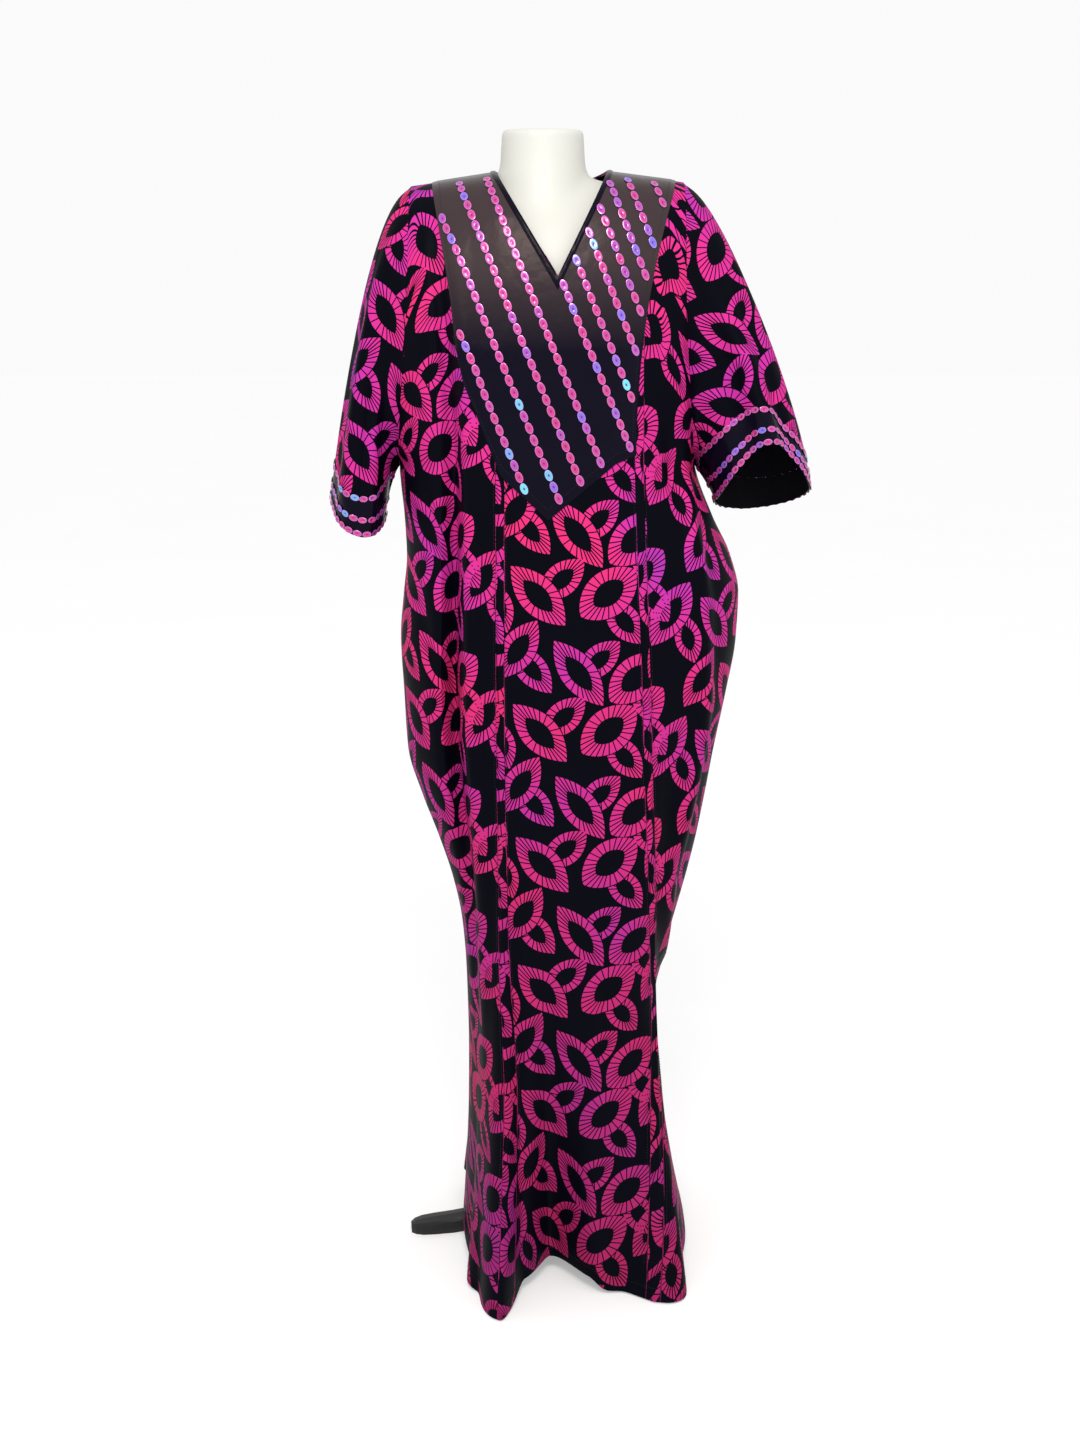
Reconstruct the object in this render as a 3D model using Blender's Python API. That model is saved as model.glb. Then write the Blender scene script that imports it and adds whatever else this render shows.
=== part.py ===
"""Robe with wide sleeves, worn by a limbless dress form on a three-legged stand.

The cloth is a ring of wall round the form. Each height has a plain rounded section, worked out from
the outline and the depth of the robe there, and the folds push that section out or in. The front,
the back and the sleeves are strips of the ring, cut apart by narrow seams. The yoke and the neck
binding lie on those panels and are made from their points, moved out.

Metres, +Z up. The front faces -Y and the origin is on the floor, under the middle of the stand.
"Left" is the left of someone who looks at the front.
"""
import math
from collections import namedtuple
from functools import lru_cache

import bmesh
import bpy
import numpy as np

# Cloth
WALL = 0.002
YOKE_WALL = 0.0015
BINDING_WALL = 0.002
BINDING_WIDTH = 0.008
BINDING_LAP = 0.0014
BINDING_MITRE = 0.017
BINDING_BACK_DROP = 0.005
BINDING_CELLS = 9
SEAM = 0.0005
LAP = 0.0021
HEM_CLEAR = 0.002

# Heights of the cut
SHOULDER = 1.455
UNDERARM = 1.095
NECK_POINT = (0.018, 1.336)
NECK_LEFT = -0.059
NECK_RIGHT = 0.081
BACK_NECK_DROP = 0.016
CUFF_WIDTH = 0.052

# The section's middle plane, where the side seams and the shoulder seams lie
SEAM_Y = -0.010

# Stand
POLE_RADIUS = 0.016
POLE_TOP = 0.760
HUB_RADIUS = 0.044
HUB_HEIGHT = 0.060
HUB_TAPER = 0.62
LEG_ANGLES = (188.0, 308.0, 68.0)

Outline = namedtuple("Outline", "height left right")
OUTLINES = (
    Outline(0.000, -0.115, 0.207),
    Outline(0.100, -0.109, 0.186),
    Outline(0.210, -0.104, 0.169),
    Outline(0.300, -0.103, 0.161),
    Outline(0.360, -0.104, 0.158),
    Outline(0.420, -0.106, 0.165),
    Outline(0.480, -0.111, 0.179),
    Outline(0.540, -0.123, 0.195),
    Outline(0.600, -0.142, 0.209),
    Outline(0.660, -0.164, 0.220),
    Outline(0.720, -0.181, 0.230),
    Outline(0.800, -0.185, 0.245),
    Outline(0.870, -0.188, 0.256),
    Outline(0.930, -0.183, 0.258),
    Outline(0.980, -0.178, 0.246),
    Outline(1.030, -0.180, 0.222),
    Outline(1.095, -0.186, 0.198),
    Outline(1.160, -0.181, 0.189),
    Outline(1.250, -0.172, 0.181),
    Outline(1.340, -0.167, 0.177),
    Outline(1.455, -0.165, 0.176),
)

Depth = namedtuple("Depth", "height front back squareness")
DEPTHS = (
    Depth(0.000, 0.188, 0.168, 2.9),
    Depth(0.100, 0.172, 0.158, 2.8),
    Depth(0.200, 0.161, 0.148, 2.6),
    Depth(0.300, 0.155, 0.142, 2.5),
    Depth(0.420, 0.153, 0.138, 2.4),
    Depth(0.660, 0.150, 0.134, 2.3),
    Depth(0.920, 0.148, 0.128, 2.3),
    Depth(1.095, 0.147, 0.120, 2.3),
    Depth(1.220, 0.141, 0.118, 2.3),
    Depth(1.290, 0.132, 0.115, 2.3),
    Depth(1.340, 0.121, 0.110, 2.3),
    Depth(1.380, 0.108, 0.102, 2.3),
    Depth(1.410, 0.093, 0.090, 2.3),
    Depth(1.430, 0.076, 0.075, 2.3),
    Depth(1.440, 0.062, 0.062, 2.3),
    Depth(1.447, 0.046, 0.046, 2.3),
    Depth(1.452, 0.026, 0.026, 2.3),
    Depth(1.455, 0.000, 0.000, 2.3),
)

Armhole = namedtuple("Armhole", "height half_opening turn")
ARMHOLES = (
    Armhole(0.000, 0.000, 90.0),
    Armhole(1.030, 0.000, 90.0),
    Armhole(1.095, 0.000, 82.0),
    Armhole(1.120, 0.032, 68.0),
    Armhole(1.160, 0.058, 58.0),
    Armhole(1.220, 0.076, 55.0),
    Armhole(1.290, 0.080, 55.0),
    Armhole(1.340, 0.078, 55.0),
    Armhole(1.380, 0.072, 55.0),
    Armhole(1.410, 0.062, 55.0),
    Armhole(1.430, 0.050, 55.0),
    Armhole(1.440, 0.042, 55.0),
    Armhole(1.447, 0.030, 55.0),
    Armhole(1.452, 0.016, 55.0),
    Armhole(1.455, 0.000, 55.0),
)

# A fold's place across and its depth are given at these heights. The widths are its left half's at
# the top and at the hem, skew is the right half's share of that, and lean tips it to the right.
FOLD_HEIGHTS = (1.40, 1.10, 0.80, 0.50, 0.25, 0.00)
Fold = namedtuple("Fold", "name across out width_top width_hem skew lean")
FRONT_FOLDS = (
    Fold("valley", (-0.130, -0.113, -0.117, -0.094, -0.082, -0.086),
         (-0.004, -0.020, -0.034, -0.008, 0.000, 0.000), 0.018, 0.026, 1.0, 0.4),
    Fold("panel_edge", (-0.108, -0.090, -0.094, -0.080, -0.075, -0.070),
         (0.002, 0.006, 0.010, 0.006, 0.000, 0.000), 0.024, 0.030, 1.0, 0.6),
    Fold("tuck_left", (-0.053, -0.053, -0.054, -0.050, -0.038, -0.040),
         (0.000, 0.002, 0.003, 0.003, 0.003, 0.003), 0.006, 0.006, 1.0, 0.0),
    Fold("left_fold", (-0.060, -0.060, -0.060, -0.056, -0.046, -0.050),
         (0.000, 0.000, 0.000, 0.008, 0.030, 0.076), 0.050, 0.052, 0.5, 0.25),
    Fold("recess", (0.010, 0.010, 0.010, 0.010, 0.008, 0.006),
         (0.000, 0.000, 0.000, -0.008, -0.026, -0.060), 0.040, 0.036, 2.3, 0.0),
    Fold("right_fold", (0.120, 0.120, 0.125, 0.132, 0.136, 0.138),
         (0.000, 0.000, 0.000, 0.008, 0.020, 0.038), 0.050, 0.050, 1.1, -0.1),
    Fold("tuck_right", (0.117, 0.120, 0.133, 0.142, 0.138, 0.137),
         (0.000, 0.002, 0.003, 0.003, 0.003, 0.002), 0.006, 0.006, 1.0, 0.0),
    Fold("side_bulge", (0.170, 0.180, 0.205, 0.165, 0.165, 0.170),
         (0.000, 0.006, 0.012, 0.006, 0.000, 0.000), 0.030, 0.030, 1.0, 0.0),
)
BACK_FOLDS = (
    Fold("back_left", (-0.130, -0.130, -0.135, -0.085, -0.080, -0.092),
         (0.000, 0.006, 0.014, 0.012, 0.014, 0.024), 0.032, 0.036, 1.0, -0.5),
    Fold("back_valley_left", (-0.075, -0.075, -0.075, -0.045, -0.040, -0.050),
         (0.000, -0.003, -0.008, -0.010, -0.012, -0.014), 0.028, 0.030, 1.0, 0.0),
    Fold("back_middle", (-0.010, -0.010, -0.005, 0.005, 0.010, 0.005),
         (0.000, 0.004, 0.010, 0.012, 0.014, 0.018), 0.034, 0.036, 1.2, 0.1),
    Fold("back_valley_right", (0.060, 0.060, 0.075, 0.060, 0.060, 0.070),
         (0.000, -0.004, -0.012, -0.014, -0.016, -0.018), 0.032, 0.036, 1.0, 0.0),
    Fold("back_right", (0.120, 0.125, 0.150, 0.115, 0.115, 0.135),
         (0.000, 0.004, 0.012, 0.014, 0.014, 0.020), 0.036, 0.038, 0.9, 0.2),
)
TUCKS = ("tuck_left", "tuck_right")
TUCK_TOP = 1.13

# The hem hangs clear of the floor by this much, across the front and across the back
FRONT_HEM = ((-0.115, 0.030), (-0.098, 0.010), (-0.070, 0.000), (-0.042, 0.004), (-0.010, 0.030),
             (0.032, 0.034), (0.070, 0.026), (0.095, 0.004), (0.140, 0.000), (0.180, 0.002),
             (0.207, 0.014))
BACK_HEM = ((-0.115, 0.030), (-0.060, 0.026), (0.040, 0.028), (0.120, 0.026), (0.207, 0.014))
HEM_BLEND = 0.10

# The shoulder line falls away from the neck
SHOULDER_LINE = ((-0.165, -0.008), (-0.059, 0.008), (0.081, 0.009), (0.176, -0.003))
SHOULDER_BLEND = 1.25

# Rows of the cloth's grid, from the hem up; the armhole starts at UNDERARM
ROWS_BELOW = (0.000, 0.025, 0.060, 0.100, 0.150, 0.205, 0.265, 0.325, 0.385, 0.445, 0.505, 0.565,
              0.625, 0.690, 0.755, 0.820, 0.885, 0.945, 1.000, 1.050, UNDERARM)
ROWS_ABOVE = (1.125, 1.160, 1.205, 1.250, 1.295, 1.340, 1.380, 1.410, 1.430, 1.442, 1.450, SHOULDER)
ROWS = ROWS_BELOW + ROWS_ABOVE

# Columns of the front: the line they follow, the distance from it and the cells up to the next one
Line = namedtuple("Line", "guide offset cells")
FRONT_LINES = (
    Line("left", 0.0, 4), Line("valley", -0.014, 2), Line("valley", 0.006, 2), Line("valley", 0.026, 3),
    Line("tuck_left", -0.006, 1), Line("tuck_left", -0.003, 1), Line("tuck_left", 0.003, 1),
    Line("tuck_left", 0.006, 5), Line("middle", 0.0, 6), Line("neck_right", 0.0, 2),
    Line("tuck_right", -0.006, 1), Line("tuck_right", -0.003, 1), Line("tuck_right", 0.003, 1),
    Line("tuck_right", 0.006, 6), Line("right", 0.0, 0),
)
GUIDES = {
    "middle": (0.018, 0.024, 0.028, 0.032, 0.032, 0.034),
    "neck_right": (0.081, 0.084, 0.088, 0.088, 0.084, 0.082),
}
SIDE_MARGIN = 0.006
BACK_NECK_CELLS = 8

# Sleeve ends, as four points round the cuff's edge. A higher peak makes the front's rise narrower,
# start is how far the sleeve keeps the armhole's direction, and finish the share of its length over
# which it hangs down.
SleeveEnd = namedtuple("SleeveEnd", "side outer front inner back peak start finish")
SLEEVE_ENDS = (
    SleeveEnd("left", (-0.276, -0.012, 1.060), (-0.235, -0.085, 1.017), (-0.204, -0.025, 1.034),
              (-0.238, 0.042, 1.030), 1.0, 0.16, 0.70),
    SleeveEnd("right", (0.347, -0.020, 1.067), (0.275, -0.100, 1.126), (0.222, -0.030, 1.056),
              (0.280, 0.032, 1.036), 1.6, 0.16, 0.50),
)
SLEEVE_CELLS = 7
CUFF_CELLS = 2

# The yoke's lower edge and its shoulder ends, across and up
YOKE_EDGE = ((-0.108, 1.267), (-0.098, 1.213), (-0.076, 1.158), (-0.050, 1.098), (0.007, 1.046),
             (0.055, 1.086), (0.090, 1.114), (0.115, 1.123))
YOKE_SHOULDER = (-0.138, 0.166)
YOKE_SIDE_CURVE = (1.35, 2.2)
YOKE_LOW_ROWS = 6
YOKE_HIGH_ROWS = (1.295, 1.340, 1.380, 1.410, 1.430, 1.442, 1.450, SHOULDER)

# Dress form, from the flat top of its neck to its flat underside
Girth = namedtuple("Girth", "height half_width front back squareness")
FORM = (
    Girth(1.5150, 0.049, 0.048, 0.048, 2.0),
    Girth(1.5130, 0.051, 0.050, 0.050, 2.0),
    Girth(1.4950, 0.052, 0.051, 0.051, 2.0),
    Girth(1.4800, 0.056, 0.054, 0.054, 2.0),
    Girth(1.4700, 0.053, 0.051, 0.051, 2.0),
    Girth(1.4600, 0.055, 0.042, 0.042, 2.0),
    Girth(1.4545, 0.078, 0.038, 0.038, 2.0),
    Girth(1.4460, 0.112, 0.045, 0.045, 2.1),
    Girth(1.4380, 0.141, 0.056, 0.056, 2.2),
    Girth(1.4220, 0.155, 0.072, 0.070, 2.3),
    Girth(1.3950, 0.162, 0.094, 0.090, 2.3),
    Girth(1.3500, 0.160, 0.111, 0.101, 2.3),
    Girth(1.2800, 0.154, 0.124, 0.105, 2.3),
    Girth(1.2000, 0.147, 0.128, 0.100, 2.2),
    Girth(1.1000, 0.132, 0.110, 0.090, 2.2),
    Girth(1.0200, 0.126, 0.100, 0.086, 2.2),
    Girth(0.9200, 0.142, 0.108, 0.098, 2.2),
    Girth(0.8300, 0.150, 0.112, 0.108, 2.2),
    Girth(0.7650, 0.148, 0.108, 0.106, 2.2),
    Girth(0.7400, 0.138, 0.098, 0.098, 2.2),
    Girth(0.7320, 0.122, 0.084, 0.084, 2.2),
)
FORM_SIDES = 28
SOCKET_RADIUS = 0.020

# Low leg, from the hub out: distance, half width, top and underside above the floor
Station = namedtuple("Station", "reach half_width top underside")
LEG = (
    Station(0.020, 0.014, 0.050, 0.012),
    Station(0.050, 0.015, 0.044, 0.010),
    Station(0.080, 0.016, 0.033, 0.006),
    Station(0.110, 0.017, 0.025, 0.002),
    Station(0.130, 0.018, 0.022, 0.000),
    Station(0.158, 0.019, 0.019, 0.000),
    Station(0.174, 0.018, 0.017, 0.000),
    Station(0.184, 0.014, 0.015, 0.000),
    Station(0.190, 0.008, 0.012, 0.000),
)
LEG_CORNER = 0.6
LEG_FLAT = 0.55
LEG_SIDES = 12

SOCKET_DEPTH = 0.080
FIT = 0.0004

CLOTH_COLOUR = (0.012, 0.012, 0.020)
SATIN_COLOUR = (0.020, 0.017, 0.018)
FORM_COLOUR = (0.80, 0.77, 0.68)
STAND_COLOUR = (0.010, 0.010, 0.011)


def smooth(xs, ys, at):
    """A curve through the points that never swings past them, read at one or more places."""
    xs = np.asarray(xs, dtype=float)
    ys = np.asarray(ys, dtype=float)
    at = np.clip(np.asarray(at, dtype=float), xs[0], xs[-1])
    step = np.diff(xs)
    slope = np.diff(ys) / step
    tangent = np.zeros(len(xs))
    tangent[0] = slope[0]
    tangent[-1] = slope[-1]
    for i in range(1, len(xs) - 1):
        if slope[i - 1] * slope[i] > 0:
            before = 2 * step[i] + step[i - 1]
            after = step[i] + 2 * step[i - 1]
            tangent[i] = (before + after) / (before / slope[i - 1] + after / slope[i])
    i = np.clip(np.searchsorted(xs, at, side="right") - 1, 0, len(xs) - 2)
    t = (at - xs[i]) / step[i]
    held = (1 + 2 * t) * (1 - t) ** 2 * ys[i] + t * t * (3 - 2 * t) * ys[i + 1]
    return held + step[i] * (t * (1 - t) ** 2 * tangent[i] - t * t * (1 - t) * tangent[i + 1])


def ease(low, high, at):
    """0 below low, 1 above high, smooth between them."""
    t = np.clip((np.asarray(at, dtype=float) - low) / (high - low), 0.0, 1.0)
    return t * t * (3 - 2 * t)


def read(table, name, height):
    """One column of a table whose first column is the height."""
    rows = sorted(table)
    return float(smooth([row.height for row in rows], [getattr(row, name) for row in rows], height))


def fold_value(values, height):
    """A fold's value at a height, from its list at FOLD_HEIGHTS."""
    return float(smooth(FOLD_HEIGHTS[::-1], values[::-1], height))


def unit(vectors):
    """The vectors at length one."""
    return vectors / np.maximum(np.linalg.norm(vectors, axis=-1, keepdims=True), 1e-12)


@lru_cache(maxsize=None)
def section(side, height):
    """The front (-1) or back (1) half of the ring at a height.

    Returns the place across before the folds, and the folded curve's x and y.
    """
    left = read(OUTLINES, "left", height)
    right = read(OUTLINES, "right", height)
    depth = read(DEPTHS, "front" if side < 0 else "back", height)
    power = 2 / read(DEPTHS, "squareness", height)
    opening = read(ARMHOLES, "half_opening", height)
    turn = math.radians(read(ARMHOLES, "turn", height))
    angle = np.linspace(-turn, turn, 361)
    across = np.sign(angle) * np.abs(np.sin(angle)) ** power / math.sin(turn) ** power
    end = max(math.cos(turn), 0.0) ** power
    bulge = (np.maximum(np.cos(angle), 0.0) ** power - end) / (1 - end)
    x = (left + right) / 2 + across * (right - left) / 2
    y = SEAM_Y + side * (opening + (depth - opening) * bulge)
    length = np.concatenate(([0.0], np.cumsum(np.hypot(np.diff(x), np.diff(y)))))
    along = unit(np.stack((np.gradient(x), np.gradient(y)), axis=-1))
    outward = np.stack((along[:, 1], -along[:, 0]), axis=-1) * -side
    shift = np.zeros((len(x), 2))
    for fold in FRONT_FOLDS if side < 0 else BACK_FOLDS:
        out = fold_value(fold.out, height)
        width = fold.width_hem + (fold.width_top - fold.width_hem) * height / SHOULDER
        if fold.name in TUCKS:
            out *= 1 - float(ease(TUCK_TOP - 0.03, TUCK_TOP, height))
        away = (length - np.interp(fold_value(fold.across, height), x, length)) / width
        away = np.where(away > 0, away / fold.skew, away)
        rise = out * (0.5 + 0.5 * np.cos(math.pi * np.clip(away, -1, 1)))
        shift += rise[:, None] * (outward + fold.lean * along)
    shift *= ease(0.0, 0.02, np.minimum(length, length[-1] - length))[:, None]
    shift *= 1 - float(ease(1.36, 1.44, height))
    folded = np.stack((x, y), axis=-1) + shift
    return x, folded[:, 0], folded[:, 1]


def rise(across, height):
    """The real height of a point of the cloth, with the fall of the shoulder line."""
    line = np.interp(across, [p[0] for p in SHOULDER_LINE], [p[1] for p in SHOULDER_LINE])
    return height + HEM_CLEAR + (line - HEM_CLEAR) * float(ease(SHOULDER_BLEND, SHOULDER, height))


def cloth_point(side, across, height):
    """A point of the front (-1) or back (1), from its place across and its height before folding."""
    base, x, y = section(side, round(float(height), 6))
    return np.array((np.interp(across, base, x), np.interp(across, base, y), rise(across, height)))


def cloth_normal(side, across, height):
    """The outward direction of the front or back at a point."""
    step = 0.002
    low = max(height - step, 0.0)
    high = min(height + step, SHOULDER)
    wide = cloth_point(side, across + step, height) - cloth_point(side, across - step, height)
    tall = cloth_point(side, across, high) - cloth_point(side, across, low)
    return unit(np.cross(wide, tall) * -side)


def edges(height):
    """The left and right ends of the ring at a height."""
    return read(OUTLINES, "left", height), read(OUTLINES, "right", height)


def neck_height(side, across):
    """How far up the panel reaches at a place across."""
    if not NECK_LEFT < across < NECK_RIGHT:
        return SHOULDER
    if side < 0:
        middle, low = NECK_POINT
        end = NECK_LEFT if across < middle else NECK_RIGHT
        t = (across - middle) / (end - middle)
        return low + (SHOULDER - low) * t
    t = (across - NECK_LEFT) / (NECK_RIGHT - NECK_LEFT)
    return SHOULDER - BACK_NECK_DROP * math.sin(math.pi * t) ** 0.8


def spread(first, last, cells, height):
    """Places across between two lines, evenly round the section and without the last."""
    left, right = edges(height)
    middle = (left + right) / 2
    half = (right - left) / 2
    power = read(DEPTHS, "squareness", height) / 2
    turn = math.radians(read(ARMHOLES, "turn", height))

    def angle(across):
        share = min(max((across - middle) / half, -1.0), 1.0)
        return math.copysign(math.asin(min(abs(share) ** power * math.sin(turn), 1.0)), share)

    steps = np.linspace(angle(first), angle(last), cells + 1)[:-1]
    share = np.sign(steps) * (np.abs(np.sin(steps)) / math.sin(turn)) ** (1 / power)
    return list(middle + half * share)


@lru_cache(maxsize=None)
def front_columns(height):
    """Places across of the front's columns at a height."""
    left, right = edges(height)
    places = {"left": left, "right": right}
    for name, values in GUIDES.items():
        places[name] = fold_value(values, height)
    for fold in FRONT_FOLDS:
        places.setdefault(fold.name, fold_value(fold.across, height))
    columns = []
    for line, following in zip(FRONT_LINES, FRONT_LINES[1:]):
        first = max(places[line.guide] + line.offset, left)
        last = max(places[following.guide] + following.offset, left + SIDE_MARGIN)
        columns += spread(first, last, line.cells, height)
    return columns + [right]


@lru_cache(maxsize=None)
def back_columns(height):
    """Places across of the back's columns, which meet the front's along the shoulders."""
    top = front_columns(SHOULDER)
    shoulder_left = [x for x in top if x <= NECK_LEFT + 1e-6]
    shoulder_right = [x for x in top if x >= NECK_RIGHT - 1e-6]
    turn = np.linspace(0, math.pi, BACK_NECK_CELLS + 1)[1:-1]
    neck = list((NECK_LEFT + NECK_RIGHT) / 2 - (NECK_RIGHT - NECK_LEFT) / 2 * np.cos(turn))
    high = np.array(shoulder_left + neck + shoulder_right)
    left, right = edges(height)
    low = np.array(spread(left, right, len(high) - 1, height) + [right])
    return list(low + (high - low) * float(ease(1.15, 1.42, height)))


def row_height(row, reach):
    """The height of a row in a column that reaches only so high."""
    if row <= UNDERARM:
        return row
    return UNDERARM + (row - UNDERARM) * (reach - UNDERARM) / (SHOULDER - UNDERARM)


def panel(side):
    """The grid of the front's or back's outer points, hem first."""
    columns_at = front_columns if side < 0 else back_columns
    hem = FRONT_HEM if side < 0 else BACK_HEM
    top = columns_at(SHOULDER)
    grid = np.zeros((len(ROWS), len(top), 3))
    for i, row in enumerate(ROWS):
        for j, column in enumerate(top):
            height = row_height(row, neck_height(side, column))
            if row < HEM_BLEND:
                across = columns_at(row)[j]
                lift = float(smooth([p[0] for p in hem], [p[1] for p in hem], across))
                height = lift + row * (HEM_BLEND - lift) / HEM_BLEND
            across = columns_at(round(height, 6))[j]
            grid[i, j] = cloth_point(side, across, height)
    return grid


def grid_normals(grid, outside):
    """Directions across the surface of a grid, on the side that outside gives."""
    tall = np.gradient(grid, axis=0)
    wide = np.gradient(grid, axis=1)
    return unit(np.cross(wide, tall)) * outside


def share_normals(first, second):
    """One direction for two pieces along the seam where they meet."""
    both = unit(first + second)
    return both, both.copy()


def armhole(front, back, end):
    """The loop of points round an armhole, from the shoulder down the front and up the back."""
    first = len(ROWS_BELOW) - 1
    column = 0 if end < 0 else -1
    down = front[first:, column][::-1]
    up = back[first + 1:-1, column]
    return np.concatenate((down, up))


def cuff_edge(end, count):
    """The loop of points round the end of a sleeve, matching the armhole's."""
    outer, front, inner, back = (np.array(p) for p in (end.outer, end.front, end.inner, end.back))
    points = []
    half = count // 2
    for i in range(count):
        turn = math.pi * i / half
        share = (1 - math.cos(turn)) / 2
        straight = outer + (inner - outer) * share
        crest = front if i <= half else back
        bow = abs(math.sin(turn))
        point = straight + (crest - (outer + inner) / 2) * np.array((0.0, bow, 0.0))
        sharp = bow ** (end.peak if i <= half else 1.0)
        point[2] += (crest[2] - (outer[2] + inner[2]) / 2) * sharp
        points.append(point)
    return np.array(points)


def sleeve_grid(loop, outward, end):
    """The grid of a sleeve's outer points, from the armhole to the edge of the cuff."""
    edge = cuff_edge(end, len(loop))
    reach = np.linalg.norm(edge - loop, axis=-1)
    start = outward * np.minimum(reach * 0.8, end.start)[:, None]
    fall = np.tile(np.array((0.12 * math.copysign(1, end.outer[0]), 0.0, -1.0)), (len(loop), 1))
    finish = fall * reach[:, None] * end.finish
    cuff_share = np.minimum(CUFF_WIDTH / reach, 0.80)
    rows = []
    for k in range(SLEEVE_CELLS + CUFF_CELLS + 1):
        if k <= SLEEVE_CELLS:
            t = (1 - cuff_share) * k / SLEEVE_CELLS
        else:
            t = 1 - cuff_share * (1 - (k - SLEEVE_CELLS) / CUFF_CELLS)
        t = t[:, None]
        rows.append((1 + 2 * t) * (1 - t) ** 2 * loop + t * t * (3 - 2 * t) * edge
                    + t * (1 - t) ** 2 * start - t * t * (1 - t) * finish)
    return np.array(rows)


def ring_normals(grid, outside):
    """Directions across the surface of a tube whose rows are loops."""
    wide = np.roll(grid, -1, axis=1) - np.roll(grid, 1, axis=1)
    tall = np.gradient(grid, axis=0)
    return unit(np.cross(wide, tall)) * outside


def pull_back(outer, inner, edge):
    """Moves an edge of a wall half a seam away from its neighbour, towards its own next row."""
    edge_rows = {"first_row": (0, 1), "last_row": (-1, -2)}
    edge_columns = {"first_column": (0, 1), "last_column": (-1, -2)}
    if edge in edge_rows:
        here, beside = edge_rows[edge]
        step = unit(outer[beside] - outer[here]) * SEAM / 2
        outer[here] += step
        inner[here] += step
    else:
        here, beside = edge_columns[edge]
        step = unit(outer[:, beside] - outer[:, here]) * SEAM / 2
        outer[:, here] += step
        inner[:, here] += step


def material(name, colour, roughness, metallic=0.0):
    """A plain Principled material."""
    made = bpy.data.materials.new(name)
    made.use_nodes = True
    shader = made.node_tree.nodes["Principled BSDF"]
    shader.inputs["Base Color"].default_value = (*colour, 1.0)
    shader.inputs["Roughness"].default_value = roughness
    shader.inputs["Metallic"].default_value = metallic
    made.diffuse_color = (*colour, 1.0)
    return made


def add_object(name, bm, finish):
    """Turns a bmesh into a named object with its faces pointing out."""
    bmesh.ops.recalc_face_normals(bm, faces=bm.faces[:])
    mesh = bpy.data.meshes.new(name)
    bm.to_mesh(mesh)
    bm.free()
    mesh.shade_smooth()
    mesh.set_sharp_from_angle(angle=math.radians(50))
    made = bpy.data.objects.new(name, mesh)
    bpy.context.scene.collection.objects.link(made)
    mesh.materials.append(finish)
    return made


def add_wall(name, outer, inner, finish, closed=False):
    """A wall between an outer and an inner grid of points; closed joins its last column to its first."""
    bm = bmesh.new()
    rows, columns = outer.shape[:2]
    outer_points = [[bm.verts.new(point) for point in row] for row in outer]
    inner_points = [[bm.verts.new(point) for point in row] for row in inner]
    last = columns if closed else columns - 1
    for i in range(rows - 1):
        for j in range(last):
            k = (j + 1) % columns
            bm.faces.new((outer_points[i][j], outer_points[i][k],
                          outer_points[i + 1][k], outer_points[i + 1][j]))
            bm.faces.new((inner_points[i][j], inner_points[i + 1][j],
                          inner_points[i + 1][k], inner_points[i][k]))
    for i in (0, rows - 1):
        for j in range(last):
            k = (j + 1) % columns
            bm.faces.new((outer_points[i][j], inner_points[i][j], inner_points[i][k], outer_points[i][k]))
    if not closed:
        for j in (0, columns - 1):
            for i in range(rows - 1):
                bm.faces.new((outer_points[i][j], outer_points[i + 1][j],
                              inner_points[i + 1][j], inner_points[i][j]))
    return add_object(name, bm, finish)


def lying(points, lift, thickness):
    """Outer and inner grids of a piece that lies on a panel, from (side, across, height) grids.

    lift is its distance above the panel, one value or one for each row.
    """
    on_panel = np.array([[cloth_point(*p) for p in row] for row in points])
    out = np.array([[cloth_normal(*p) for p in row] for row in points])
    above = np.broadcast_to(np.asarray(lift, dtype=float), (len(points),))[:, None, None]
    return on_panel + out * (above + thickness), on_panel + out * above


def neck_span(columns):
    """Numbers of the columns at the neck's left and right corners."""
    left = min(range(len(columns)), key=lambda j: abs(columns[j] - NECK_LEFT))
    right = min(range(len(columns)), key=lambda j: abs(columns[j] - NECK_RIGHT))
    return left, right


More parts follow.
